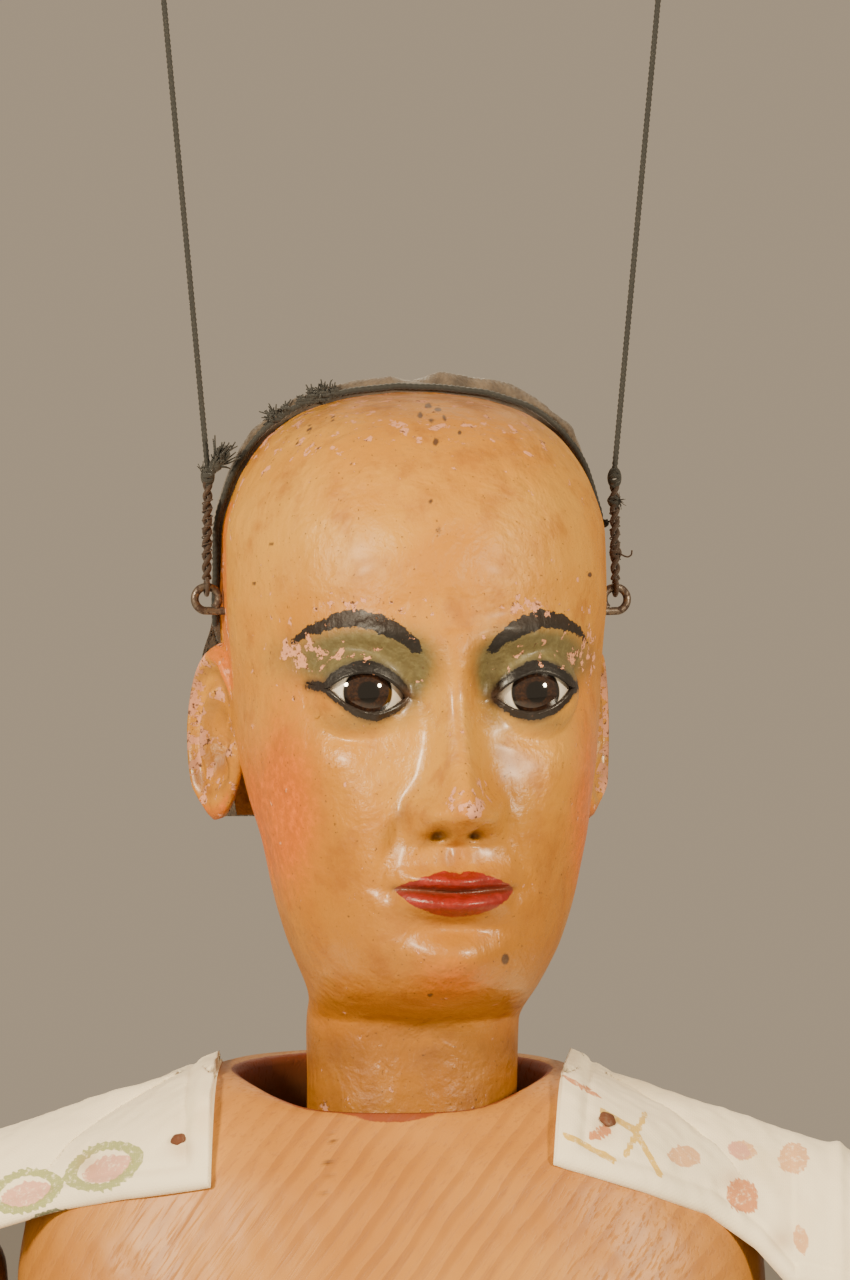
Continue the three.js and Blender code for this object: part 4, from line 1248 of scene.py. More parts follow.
def segment_distance(x: Array, z: Array, a: Floats, b: Floats) -> Array:
    """Distance from points to a straight line between two places."""
    dx, dz = b[0] - a[0], b[1] - a[1]
    t = np.clip(((x - a[0]) * dx + (z - a[1]) * dz) / (dx * dx + dz * dz), 0, 1)
    return np.hypot(x - a[0] - t * dx, z - a[1] - t * dz)


def face_rise(x: Array, z: Array) -> Array:
    """How far the carved face stands out of the plain skull, by place across and up."""
    total = nose_rise(x, z) + lip_rise(x, z)
    for cx, cz, sx, sz, amount in FACE_HILLS:
        total = total + amount * bump(x, z, cx, cz, sx, sz)
        if cx:
            total = total + amount * bump(x, z, -cx, cz, sx, sz)
    fold = segment_distance(np.abs(x), z, (10.2, -46.5), (15.2, -58.5))
    total -= 0.8 * ridge(fold, 0.0, 1.5)
    crease = np.abs(z - lid_middle(x) - lid_gap(x) - 2.6)
    near = smoothstep(10.5, 7.5, np.abs(np.abs(x) - EYE_X))
    return total - 0.9 * near * ridge(crease, 0.0, 0.6)


def unturned(points: Array) -> Array:
    """Points of the head turned back to face -Y."""
    return turned(points, -HEAD_TURN)


@dataclass
class Head:
    """The carved head: front with face, ears and neck, the back half, the glass eyes."""

    skin: Material
    plain_skin: Material
    putty: Material
    columns: int = 288

    def build(self) -> None:
        """Makes the head's pieces."""
        shells = [self._front()] + [self._ear(side) for side in Side]
        front = make_object("head_front", shells)
        self._paint(front)
        finish_piece(front, "head", self.skin, ["head_front"])
        back = make_object("head_back", [self._back()])
        for name in ("chip", "pit", "grime"):
            put_values(back, name, lambda p: np.full(len(p), 0.1))
        finish_piece(back, "head", self.plain_skin, ["head_back"])
        for side in Side:
            self._eye(side)

    def _rows(self) -> Array:
        """Heights of the front's rings, closest together over the face."""
        return np.concatenate([
            np.linspace(NECK_FOOT_Z, -94, 34, endpoint=False), np.linspace(-94, -66, 62, endpoint=False),
            np.linspace(-66, -52, 38, endpoint=False), np.linspace(-52, -40, 34, endpoint=False),
            np.linspace(-40, EYE_Z - LID_HALF_HEIGHT, 30, endpoint=False),
            np.linspace(EYE_Z - LID_HALF_HEIGHT, EYE_Z + LID_HALF_HEIGHT, 17, endpoint=False),
            np.linspace(EYE_Z + LID_HALF_HEIGHT, 4, 44, endpoint=False),
            4 + 34.8 * np.sin(np.linspace(0, 0.5 * math.pi, 40)),
        ])

    def _ring_grid(self, nominal: Array) -> tuple[Array, Array]:
        """Plain skull and jaw rings at the given heights.

        Args:
            nominal: The heights.

        Returns:
            (rows, columns, 3) points, and the sine of each column's angle.
        """
        table = np.array(JAW_ROWS + SKULL_TOP_ROWS, float)
        width, front, back = (curve_through(nominal, table[:, 0], table[:, k]) for k in (1, 2, 3))
        t = np.linspace(0, 1, self.columns, endpoint=False)
        angle = 2 * math.pi * t + FRONT_CROWDING * np.cos(2 * math.pi * t)
        power = curve_through(nominal, (-126, -90, -82, -74, -58, 39), (2.0, 2.0, 1.78, 1.9, 2.15, 2.2))
        s, c, e = np.sin(angle)[None, :], np.cos(angle)[None, :], 2.0 / power[:, None]
        x = width[:, None] * np.sign(c) * np.abs(c) ** e
        y = ((back + front) / 2)[:, None] + ((back - front) / 2)[:, None] * np.sign(s) * np.abs(s) ** e
        rings = np.stack([x, y, np.broadcast_to(nominal[:, None], x.shape)], axis=-1)
        return rings, np.broadcast_to(s, rings.shape[:2])

    def _front(self) -> Shell:
        """The face, jaw and neck as one skin, cut flat behind at the glued joint."""
        nominal = self._rows()
        rings, s = self._ring_grid(nominal)
        x, y, z = rings[..., 0], rings[..., 1], rings[..., 2].copy()
        facing = smoothstep(0.10, 0.55, -s)
        gap, middle = lid_gap(x), lid_middle(x)
        reach = 15.0
        above, below = z - (EYE_Z + LID_HALF_HEIGHT), (EYE_Z - LID_HALF_HEIGHT) - z
        shift_up = (middle + gap) - (EYE_Z + LID_HALF_HEIGHT)
        shift_low = (middle - gap) - (EYE_Z - LID_HALF_HEIGHT)
        inner = (above < 0) & (below < 0)
        share = (z - (EYE_Z - LID_HALF_HEIGHT)) / (2 * LID_HALF_HEIGHT)
        moved = np.where(above >= 0, z + shift_up * np.clip(1 - above / reach, 0, 1) ** 1.5,
                         z + shift_low * np.clip(1 - below / reach, 0, 1) ** 1.5)
        moved = np.where(inner, middle - gap + share * 2 * gap, moved)
        z = z + (moved - z) * facing
        y = y - face_rise(x, z) * facing
        off = np.hypot(np.abs(x) - EYE_X, z - EYE_Z)
        lid = EYE_Y - np.sqrt(np.clip((EYE_RADIUS + LID_COVER) ** 2 - off ** 2, 0, None))
        lid = np.where(off < EYE_RADIUS + LID_COVER, lid, 50.0)
        blend = 1.1
        smooth = -blend * np.logaddexp(-y / blend, -lid / blend)
        y = y + (smooth - y) * facing
        ball = EYE_Y - np.sqrt(np.clip(EYE_RADIUS ** 2 - off ** 2, 4.0, None)) + 1.6
        opening = inner & (np.abs(np.abs(x) - EYE_X) < LID_HALF_WIDTH) & (facing > 0.5)
        y = np.where(opening, np.maximum(y, ball), y)
        rings = np.stack([x, y, z], axis=-1)
        soft = smooth_noise(rings, 22.0, 5, 3)[..., None] * 0.24 \
            + smooth_noise(rings, 6.5, 6, 2)[..., None] * 0.05
        carve = np.where(opening[..., None], 0.0, soft) * np.array([0.4, 1.0, 0.0])
        rings = rings + carve * np.sign(s)[..., None]
        plane = SEAM_Y - SEAM_LEAN * rings[..., 2] - 0.15
        cut = (rings[..., 2] > NAPE_Z - 0.1) & (rings[..., 1] > plane)
        rings[..., 1] = np.where(cut, plane, rings[..., 1])
        return closed_rings(rings).placed(HEAD_TURN)

    def _back(self) -> Shell:
        """The back half of the skull, flat in front at the glued joint and below at the nape."""
        nominal = np.concatenate([[NAPE_Z + 0.15], np.linspace(NAPE_Z + 0.2, 4, 40),
                                  4 + 34.8 * np.sin(np.linspace(0.03, 0.5 * math.pi, 30))])
        rings, _ = self._ring_grid(nominal)
        rings = rings[:, ::3]
        plane = SEAM_Y - SEAM_LEAN * rings[..., 2] + 0.15
        rings[..., 1] = np.maximum(rings[..., 1], plane)
        return closed_rings(rings).placed(HEAD_TURN)

    def _ear(self, side: Side) -> Shell:
        """One ear: a rounded plate whose outer face has a rolled rim, an inner ridge, a bowl and a lobe."""
        rows, columns = 46, 96
        t = np.concatenate([np.linspace(0.02, 1, rows // 2), np.linspace(0.985, 0.02, rows // 2)])
        front_face = np.arange(len(t)) < rows // 2
        phi = 2 * math.pi * np.arange(columns) / columns
        r, p = np.meshgrid(t, phi, indexing="ij")
        up, back = np.sin(p), np.cos(p)
        behind = np.clip(back, 0, 1)
        outline = 1.0 + 0.10 * np.clip(up, 0, 1) * behind - 0.16 * np.clip(-up, 0, 1) * behind
        py, pz = 9.2 * r * back * outline, 17.8 * r * up * outline
        dome = np.sqrt(np.clip(1 - r ** 2, 0, 1))
        rim_side = smoothstep(-0.75, 0.1, np.cos(p - 0.6))
        rim = 2.5 * ridge(r, 0.86, 0.11) * rim_side
        fold = 1.7 * ridge(np.hypot(py / 9 + 0.12, (pz + 0.5) / 17), 0.50, 0.11) \
            * smoothstep(-0.3, 0.5, np.cos(p - 0.3))
        bowl = -3.4 * np.exp(-((py + 2.2) / 3.4) ** 2 - ((pz + 2.5) / 6.2) ** 2)
        lobe = 1.1 * np.exp(-((py + 2.0) / 3.5) ** 2 - ((pz + 14.0) / 3.8) ** 2)
        tragus = 1.7 * np.exp(-((py + 6.0) / 1.7) ** 2 - ((pz + 3.5) / 2.6) ** 2)
        outer = 1.6 * dome ** 0.6 + rim + fold + bowl + lobe + tragus
        inner = -1.9 * dome ** 0.6
        px = np.where(front_face[:, None], outer, inner)
        rings = np.stack([px, py, pz], axis=-1)[::-1]
        tilt, splay = 0.15, -0.35
        c, s = math.cos(tilt), math.sin(tilt)
        ry, rz = c * rings[..., 1] - s * rings[..., 2], s * rings[..., 1] + c * rings[..., 2]
        c, s = math.cos(splay), math.sin(splay)
        rx, ry = c * rings[..., 0] - s * ry, s * rings[..., 0] + c * ry
        shell = closed_rings(np.stack([rx + 37.2, ry + 9.0, rz - 29.0], axis=-1))
        if side is Side.RIGHT:
            shell = shell.mirrored()
        return shell.placed(HEAD_TURN)

    def _eye(self, side: Side) -> None:
        """One glass eye with its putty setting."""
        centre = np.array([side.value * EYE_X, EYE_Y, EYE_Z])
        lat = np.linspace(-0.5 * math.pi + 0.03, 0.5 * math.pi - 0.03, 40)
        rings = superellipse_rings(EYE_RADIUS * np.sin(lat), EYE_RADIUS * np.cos(lat),
                                   EYE_RADIUS * np.cos(lat),
                                   np.zeros(40), 2.0, 72)
        eye = make_object(f"glass_eye_{side.word}", [closed_rings(rings + centre).placed(HEAD_TURN)])
        place = turn_point(centre)
        gaze = turn_point((0.02 * side.value, -1.0, 0.01))
        middle = (place[0] * MM, place[1] * MM, (place[2] - HANG_Z) * MM)
        glass = GlassEye(f"eye_glass_{side.word}", middle, gaze).build()
        finish_piece(eye, "head", glass, [f"glass_eye_{side.word}"])
        seat_y = EYE_Y + EYE_RADIUS - 3.0
        ring = circle_path((0, 0, 0), 1.0, 0, 2 * math.pi * 47 / 48, 48)
        steps = ((seat_y, 5.8), (seat_y + 0.3, 8.4), (seat_y + 9.4, 8.6), (seat_y + 10, 8.0))
        rings = np.array([ring * [r, 1, r] + [centre[0], y, EYE_Z] for y, r in steps])[:, ::-1]
        seat = make_object(f"eye_setting_{side.word}", [closed_rings(rings).placed(HEAD_TURN)])
        finish_piece(seat, "head", self.putty, [f"eye_setting_{side.word}"])

    def _paint(self, front: Piece) -> None:
        """Writes the make-up, wear and pit masks of the head, and the mask of its painted shade and other
        darkening.
        """

        def local(work: Callable[[Array, Array], Array]) -> Callable[[Array], Array]:
            """Lets a mask of x and z be read at points of the turned head, on the front half only."""
            def run(points: Array) -> Array:
                """The mask at each point."""
                back = unturned(points)
                return work(back[:, 0], back[:, 2]) * (back[:, 1] < 0)
            return run

        def brow(x: Array, z: Array) -> Array:
            """The painted brows."""
            ax = np.abs(x)
            middle = curve_through(ax, (5, 7, 12, 19, 26, 31), (-13.4, -12.2, -8.6, -6.4, -8.4, -12.6))
            half = curve_through(ax, (5, 7, 12, 19, 26, 31), (0.4, 1.3, 1.9, 1.7, 1.1, 0.2))
            return np.clip(0.5 + (half - np.abs(z - middle)) / 2.6, 0, 1) * smoothstep(5.0, 7.4, ax) \
                * smoothstep(32.5, 29, ax)

        def liner(x: Array, z: Array) -> Array:
            """The dark line round the eyes and its wing."""
            ax = np.abs(x)
            upper = np.abs(z - lid_middle(x) - lid_gap(x) * (np.abs(ax - EYE_X) < 7.7) - 0.45)
            lower = np.abs(z - lid_middle(x) + lid_gap(x) * (np.abs(ax - EYE_X) < 7.7) + 0.25)
            span = smoothstep(9.4, 7.2, np.abs(ax - EYE_X))
            wing = segment_distance(ax, z, (23.5, -20.2), (26.0, -19.4))
            top = np.clip(0.5 + (1.8 - upper) / 2.6, 0, 1) * span
            foot = np.clip(0.5 + (1.3 - lower) / 2.6, 0, 1) * span
            return np.maximum(np.maximum(top, foot), np.clip(0.5 + (0.9 - wing) / 2.6, 0, 1))

        def lip(x: Array, z: Array) -> Array:
            """The painted lips."""
            u = np.clip(np.abs(x) / MOUTH_HALF_WIDTH, 0, 1)
            line = MOUTH_Z + 0.5 * u ** 2
            top = line + (4.2 - 0.75 * ridge(x, 0.0, 1.5)) * (1 - u ** 1.7)
            foot = line - 4.9 * (1 - u ** 2.2) ** 0.8
            ends = smoothstep(13.2, 11.2, np.abs(x))
            return np.clip(0.5 + np.minimum(top - z, z - foot) / 2.6, 0, 1) * ends

        def shade(x: Array, z: Array) -> Array:
            """The smoky paint round the eyes."""
            ax = np.abs(x)
            over = bump(ax, z, 17.5, -14.2, 12.5, 6.2)
            return np.clip(1.6 * over + 0.85 * bump(ax, z, 8.2, -18.5, 3.4, 6.5)
                           + 0.55 * bump(ax, z, 17, -26.6, 9, 2.8), 0, 1)

        def rouge(x: Array, z: Array) -> Array:
            """The red on cheeks, chin, nose and temples."""
            ax = np.abs(x)
            total = 1.15 * bump(ax, z, 31, -45, 6.5, 19) + 0.65 * bump(x, z, 0, -77, 10, 6) \
                + 0.4 * bump(x, z, 0, -43, 6, 5)
            return np.clip(total + 0.35 * bump(ax, z, 27, -16, 5, 9), 0, 1)

        for name, work in (("brow", brow), ("liner", liner), ("lip", lip), ("shade", shade)):
            put_values(front, name, local(work))

        def rouge_all(points: Array) -> Array:
            """The rouge of the face and of the ear rims."""
            back = unturned(points)
            rim = np.hypot((back[:, 1] - 9) / 9.2, (back[:, 2] + 29) / 17.8)
            x, y, z = back.T
            ear = smoothstep(0.74, 0.92, rim) * (np.abs(x) > 36.5) * (z > -50) * (y > -3)
            return np.maximum(rouge(x, z) * (y < 0), 0.8 * ear)

        put_values(front, "rouge", rouge_all)
        put_values(front, "pit", self._pits)
        put_values(front, "chip", self._chips)
        put_values(front, "grime", self._shade_and_grime)

    @staticmethod
    def _pits(points: Array) -> Array:
        """Small holes and slits in the forehead and the chin, not cut but painted dark as painted shade."""
        holes = ((3.2, 35.6, 0.9, 0.8), (1.6, 33.6, 0.8, 0.9), (5.2, 34.8, 0.8, 0.7), (4.0, 32.4, 0.9, 0.7),
                 (6.4, 33.0, 0.7, 0.8), (4.8, 28.2, 0.9, 1.2), (9.4, 30.2, 0.6, 0.6), (3.4, 16.2, 0.7, 1.0),
                 (4.9, 10.4, 0.75, 1.9), (-20.2, 31.0, 0.6, 1.5), (-15.5, 33.0, 0.5, 1.1),
                 (-22.5, 28.5, 0.5, 1.0),
                 (18.2, -72.6, 1.0, 1.5), (3.6, -79.6, 0.8, 0.6), (-27.5, 8.0, 0.6, 0.6),
                 (-31.0, 0.5, 0.5, 0.6),
                 (35.0, 2.2, 0.6, 0.7), (-12.0, 24.0, 0.5, 0.5))
        x, y, z = points.T
        mask = sum(bump(x, z, *hole) for hole in holes)
        return np.clip(mask, 0, 1) * (y < -5)

    @staticmethod
    def _chips(points: Array) -> Array:
        """How chipped the paint is: most at ear rims, the hair line and the foot of the neck."""
        back = unturned(points)
        x, y, z = back.T
        ear = smoothstep(38.5, 42.5, np.abs(x)) * (y > -3)
        hair = smoothstep(16, 32, z)
        neck = smoothstep(-94, -124, z)
        edge = smoothstep(-14, 4, y) * (z > -60)
        tip = bump(x, z, 1.5, -42, 4.6, 4.6) * (y < -50)
        brow = bump(np.abs(x), z, 18, -4.5, 12, 2.4) + bump(np.abs(x), z, 19, -13, 9, 2.0) \
            + 1.1 * bump(np.abs(x), z, 29, -13, 4, 6)
        front = 0.36 * brow * (y < 0)
        return np.clip(0.32 + 0.30 * ear + 0.24 * hair + 0.50 * neck + 0.25 * edge + 0.58 * tip + front, 0, 1)

    @staticmethod
    def _shade_and_grime(points: Array) -> Array:
        """Painted shade and other darkening: painted shade under the chin, along the mouth line, in the
        nostrils, beside the nose wings and down the neck into the socket; darker at the hair line, in the
        inner eye corners, in the ear's groove and bowl and towards the glued joint.
        """
        back = unturned(points)
        x, y, z = back.T
        front = y < 0
        total = 0.5 * smoothstep(26, 38, z) \
            + 0.55 * smoothstep(-86, -92, z) * smoothstep(-104, -92, z) * front
        total += front * 0.8 * bump(np.abs(x), z, 8.0, -21.5, 1.7, 1.6)
        line = MOUTH_Z + 0.5 * np.clip(np.abs(x) / MOUTH_HALF_WIDTH, 0, 1) ** 2
        total += 1.1 * front * ridge(z, line, 0.55) * smoothstep(13.0, 11.5, np.abs(x))
        total += 1.2 * front * bump(np.abs(x), z, 3.5, -48.3, 1.7, 1.1) \
            + 0.35 * front * bump(np.abs(x), z, 10.4, -44, 1.2, 3)
        rim = np.hypot((y - 9) / 9.2, (z + 29) / 17.8)
        groove = ridge(rim, 0.70, 0.06) * smoothstep(-45, -36, z) + 0.7 * ridge(rim, 0.30, 0.2)
        total += 0.75 * groove * (np.abs(x) > 36.3) * (y > -2)
        total += 0.30 * smoothstep(-97, -101, z) \
            + 0.35 * smoothstep(-2, 6, y) * (np.abs(x) < 36) * (z > -80) + 0.5 * smoothstep(-110, -126, z)
        return np.clip(total, 0, 1)


# --------------------------------------------------------------------- cap
SKULL_MIDDLE, SKULL_HALF = -23.1, 61.9


def skull_rings(nominal: Array, columns: int, offset: float) -> Array:
    """Rings of the skull moved outwards.

    Args:
        nominal: The bare skull's heights.
        columns: Points round a ring.
        offset: How far out, in millimetres.

    Returns:
        (rows, columns, 3) points.
    """
    table = np.array(JAW_ROWS + SKULL_TOP_ROWS, float)
    width, front, back = (curve_through(nominal, table[:, 0], table[:, k]) for k in (1, 2, 3))
    z = nominal + offset * (nominal - SKULL_MIDDLE) / SKULL_HALF
    return superellipse_rings(z, width + offset, (back - front) / 2 + offset, (back + front) / 2, 2.2,
                              columns)


def seam_path(offset: float, foot: float, count: int, forward: float = 0.0) -> Array:
    """The line where the skull, moved outwards, meets the plane of the glued joint.

    Args:
        offset: How far out, in millimetres.
        foot: The height of both ends.
        count: Points along it.
        forward: How far in front of the plane it runs.

    Returns:
        (count, 3) points from the right end over the top to the left end.
    """
    heights = np.linspace(foot, 38.79, 900)
    rings = skull_rings(heights, 720, offset)
    plane = SEAM_Y - SEAM_LEAN * rings[..., 2] - forward
    left = rings[..., 0] >= 0
    far = np.where(left, np.abs(rings[..., 1] - plane), 1e9)
    pick = far.argmin(axis=1)
    side = rings[np.arange(len(heights)), pick]
    side = side[far.min(axis=1) < 0.6]
    side[:, 1] = SEAM_Y - SEAM_LEAN * side[:, 2] - forward
    whole = np.concatenate([side * [-1, 1, 1], side[::-1]])
    along = run_along(whole)
    t = np.linspace(0, along[-1], count)
    path = np.stack([np.interp(t, along, whole[:, k]) for k in range(3)], axis=1)
    kernel = np.ones(5) / 5
    inner = np.stack([np.convolve(path[:, k], kernel, "valid") for k in range(3)], axis=1)
    return np.concatenate([path[:2], inner, path[-2:]])


@dataclass
class Cap:
    """The cloth cap, the black cord along its front edge and the wig threads left on it."""

    cloth: Material
    cord: Material

    def build(self) -> None:
        """Makes the cap and its cord."""
        nominal = np.concatenate([[NAPE_Z], np.linspace(NAPE_Z + 0.3, 2, 70),
                                  2 + 36.8 * np.sin(np.linspace(0.02, 0.5 * math.pi, 80))])
        rings = skull_rings(nominal, 300, 1.5)
        x, y, z = rings[..., 0], rings[..., 1], rings[..., 2]
        plane = SEAM_Y - SEAM_LEAN * z + 0.5 + 17.5 * smoothstep(-6.0, -15.0, z)
        behind = np.maximum(y - plane, 0)
        out = np.stack([x, y - 3, z + 8], axis=-1)
        out = unit(out)
        long_wrinkles = smooth_noise(rings * np.array([1.0, 0.35, 0.8]), 13.0, 41, 3)
        crumple = smooth_noise(rings, 5.0, 42, 3)
        gather = np.exp(-behind / 6.0)
        bunch = (1.7 * ridge(x, 12, 20) + 0.6) * ridge(behind, 0.0, 9) * smoothstep(5, 25, z)
        rise = 0.45 * long_wrinkles + 0.14 * crumple * (0.4 + gather) + bunch + 0.6 * gather * (z > 5)
        rise = rise * (1 - 0.85 * smoothstep(31.0, 37.0, np.abs(x)))
        hem = 0.7 * ridge(z, NAPE_Z + 2, 2.0)
        shown = smoothstep(-0.5, 1.0, y - plane)[..., None]
        rings = rings + out * (rise + hem)[..., None] * shown
        rings[..., 1] = np.maximum(rings[..., 1], plane)
        shell = closed_rings(rings).placed(HEAD_TURN)
        shell.uv[:, 0] *= 0.25
        cap = make_object("cap_cloth", [shell])
        finish_piece(cap, "head", self.cloth, ["cap_cloth"])
        path = seam_path(1.25, -8.0, 420, 0.1)
        wander = smooth_noise(path, 16.0, 51, 3)[:, None] * 0.22
        path = turned(path + wander * np.array([1.0, 0.0, 1.0]))
        shells = [tube_along(path, 0.62, 8, ply=2, depth=0.14, pitch=2.4)]
        lengths = np.linspace(0, 1, len(path))
        for place, count, size, seed in ((0.305, 30, 2.6, 61), (0.322, 16, 1.8, 62), (0.345, 14, 1.6, 63),
                                         (0.362, 22, 2.2, 64), (0.378, 34, 2.8, 65), (0.392, 14, 1.6, 66),
                                         (0.86, 6, 1.6, 68)):
            at = path[int(np.argmin(np.abs(lengths - place)))]
            way = at - np.array([0, 0, -5.0])
            way = way / np.linalg.norm(way)
            shells.append(wound_thread(at + 0.5 * way, (size * 0.42, size * 0.34, size * 0.36), 0.34, 9, 0.3,
                                       seed))
            shells += frayed_ends(at + 0.6 * way, way, int(count * 1.4), size * 0.75, 0.85, 0.24, seed)
        edge = make_object("cap_edge_cord", shells)
        finish_piece(edge, "head", self.cord, ["cap_edge_cord"])
        LOG.info("cap and its edge cord")


# ------------------------------------------------------- torso and shoulders
TORSO_POWER, TORSO_TILT = 2.5, 0.07
TORSO_ROWS = (
    (-262, 50, 31, 0), (-258, 53, 34, 0), (-236, 54, 36, 0), (-206, 61, 40, 0), (-176, 69.5, 43, 0),
    (-152, 74.0, 43.5, 0), (-138, 74.6, 42.5, 0), (-128, 73.6, 41, 0.5), (-120, 70.5, 39.5, 1),
    (-113, 65, 38, 1.3), (-107, 57, 36, 1.6), (-102.5, 48.5, 34.2, 1.8), (-99, 41.5, 32.6, 2),
    (-97, 36.5, 31.4, 2),
)
SOCKET_HALF = (30.7, 28.5)
SOCKET_FRONT_DIP = 5.4
ARM_X = 96.0
STRAP_LIFT, STRAP_CLOTH = 0.5, 1.5


def torso_size(z: Array) -> tuple[Array, Array, Array]:
    """Half width, half depth and centre of the torso block at a level height."""
    table = np.array(TORSO_ROWS, float)
    return tuple(curve_through(z, table[:, 0], table[:, k]) for k in (1, 2, 3))


def torso_front(dx: Array, z: Array, offset: float = 0.0) -> Array:
    """How far forward the torso's front stands at a place across and a level height.

    Args:
        dx: Distance from the torso's middle plane.
        z: Height on the level block, before the tilt.
        offset: How far outside the wood.

    Returns:
        y, which is negative at the front.
    """
    width, depth, centre = torso_size(z)
    share = np.clip(1 - (np.abs(dx) / (width + offset)) ** TORSO_POWER, 1e-6, None)
    return centre - (depth + offset) * share ** (1 / TORSO_POWER)


def leaf(x: Array, z: Array, cx: float, cz: float, long: float, wide: float, turn: float) -> Array:
    """Signed fill of a pointed leaf: 1 in its middle, 0 at its outline, below 0 outside.

    Args:
        x: Places across.
        z: Places up.
        cx: The leaf's middle across.
        cz: The leaf's middle up.
        long: Its half length.
        wide: Its half width.
        turn: Its turn in degrees.

    Returns:
        The fill.
    """
    c, s = math.cos(math.radians(turn)), math.sin(math.radians(turn))
    a, b = c * (x - cx) + s * (z - cz), -s * (x - cx) + c * (z - cz)
    return 1 - (np.abs(a) / long) ** 1.7 - (np.abs(b) / (wide * (1 + 0.06 * np.cos(a * 4)))) ** 1.7


@dataclass
class Strap:
    """One shoulder strap: folded cotton over the shoulder's top, across the gap and down the arm.

    Its front edge's height changes along the strap; rows run along it and columns across it.
    """

    side: Side
    cloth: Material
    front_edge: Sequence[tuple[float, float]]
    inner_dx: float
    inner_slant: float

    # distance from the torso's middle and height of the strap's crown beyond the block
    BRIDGE = ((88.0, -113.4), (97.0, -117.0), (104.5, -122.0), (110.5, -130.0), (112.8, -142.0),
              (112.9, -154.0), (112.2, -168.0))

    def crown(self, count: int) -> Array:
        """The strap's middle line: across and up, from its inner end to the foot of its flap."""
        inner = np.linspace(self.inner_dx, 78.0, 14)
        on_block = np.stack([inner, -97.2 - 0.325 * (inner - 37.6)], axis=1)
        line = np.concatenate([on_block, self.BRIDGE])
        step = run_along(line)
        t = np.linspace(0, step[-1], count)
        return np.stack([curve_through(t, step, line[:, 0]), curve_through(t, step, line[:, 1]), t], axis=1)

    def section(self, dx: float, top: float, columns: int) -> Array:
        """One cross-section of the strap from its front edge over the crown to its back edge.

        Args:
            dx: The crown's distance from the torso's middle.
            top: The crown's height.
            columns: Points across.

        Returns:
            (columns, 4) points: across, back, up, and length across.
        """
        edges = np.array(self.front_edge)
        low_front = np.interp(dx, edges[:, 0], edges[:, 1])
        over = float(smoothstep(38.0, 72.0, np.array(dx)))
        drop = float(smoothstep(100.0, 112.0, np.array(dx)))
        z = top - (top - low_front) * np.linspace(1, 0, 60) ** 1.6
        z_back = top - 20.0 * np.linspace(0, 1, 60)[1:] ** 1.6
        block_front = torso_front(np.array(dx), z) if dx < 77 else np.full(60, 0.0)
        block_back = np.zeros(59)
        if dx < 77:
            block_back = 2 * torso_size(z_back)[2] - torso_front(np.array(dx), z_back)
        arch = 34.0 - 14.0 * over
        free_front = -arch * np.sqrt(np.clip(1 - ((z - low_front) / (top - low_front + 1e-6)) ** 1.5, 0, 1))
        free_back = (arch - 4) * np.sqrt(np.clip(1 - ((z_back - z_back[-1]) / (top - z_back[-1])) ** 1.5, 0,
                                                 1))
        front = (1 - over) * block_front + over * free_front
        back = (1 - over) * block_back + over * free_back
        line = np.concatenate([np.stack([front, z], 1), np.stack([back, z_back], 1)])
        half = 19.0 - 3.0 * drop
        wide = np.linspace(-half, half, 119)
        hang = np.stack([wide, np.full(119, top) - 2.5 * (wide / half) ** 2], 1)
        line = (1 - drop) * line + drop * hang
        steps = run_along(line)
        t = np.linspace(0, steps[-1], columns)
        y, up = np.interp(t, steps, line[:, 0]), np.interp(t, steps, line[:, 1])
        return np.stack([np.full(columns, dx), y, up, t], axis=1)

    def build(self, offset_seed: int) -> Piece:
        """Makes the strap.

        Args:
            offset_seed: The draw of its wrinkles.

        Returns:
            The cloth.
        """
        rows, columns = 210, 130
        crown = self.crown(rows)
        grid = np.array([self.section(dx, top, columns) for dx, top, _ in crown])
        points, across = grid[..., :3].copy(), grid[..., 3]
        front = np.clip(1 - across / across[:, -1:].mean(), 0, 1)
        points[..., 0] += self.inner_slant * (front - 0.35) * np.exp(-crown[:, 2] / 12.0)[:, None]
        normal = np.cross(np.gradient(points, axis=0), np.gradient(points, axis=1))
        normal /= np.linalg.norm(normal, axis=-1, keepdims=True) + 1e-9
        normal *= np.where(normal[..., 2:3] + 0.4 * normal[..., 0:1] < 0, -1.0, 1.0)
        along = np.broadcast_to(crown[:, 2:3], across.shape)
        edge = np.minimum(across, across[:, -1:] - across)
        inner_edge = np.minimum(edge, along)
        puff = STRAP_LIFT + STRAP_CLOTH + 0.5 * ridge(inner_edge, 2.6, 1.5)
        puff = puff - 0.45 * ridge(inner_edge, 5.0, 0.7)
        puff = puff + 0.42 * smooth_noise(points, 17.0, offset_seed, 3) \
            + 0.12 * smooth_noise(points, 5.0, 9, 2)
        crease = ridge(points[..., 0], 88.4, 1.2) * (points[..., 1] < 4)
        puff = puff + 0.8 * crease
        outer = points + normal * puff[..., None]
        round_off = 1 - np.exp(-edge / 0.5)
        outer = points + (outer - points) * (0.35 + 0.65 * round_off[..., None])
        inner = points + normal * (STRAP_LIFT * 0.4)
        rings = np.concatenate([outer, inner[:, ::-1]], axis=1)
        flat_across = np.concatenate([across, across[:, ::-1]], axis=1)
        level = rings[..., 2] + TORSO_TILT * np.where(rings[..., 0] < 80, rings[..., 1], 0.0)
        rings = np.stack([self.side.value * rings[..., 0] + TORSO_X, rings[..., 1], level], axis=-1)
        shell = closed_rings(rings)
        body = np.stack([np.broadcast_to(crown[:, 2:3], flat_across.shape), flat_across], axis=-1)
        full = np.concatenate([body[:1], body, body[-1:]])
        shell.uv[:] = full.reshape(-1, 2) * MM
        name = f"shoulder_strap_{self.side.word}"
        piece = make_object(name, [shell])
        piece.data.materials.append(self.cloth)
        self._print(piece)
        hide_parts(name, f"strap_flap_{self.side.word}")
        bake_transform(piece)
        return piece

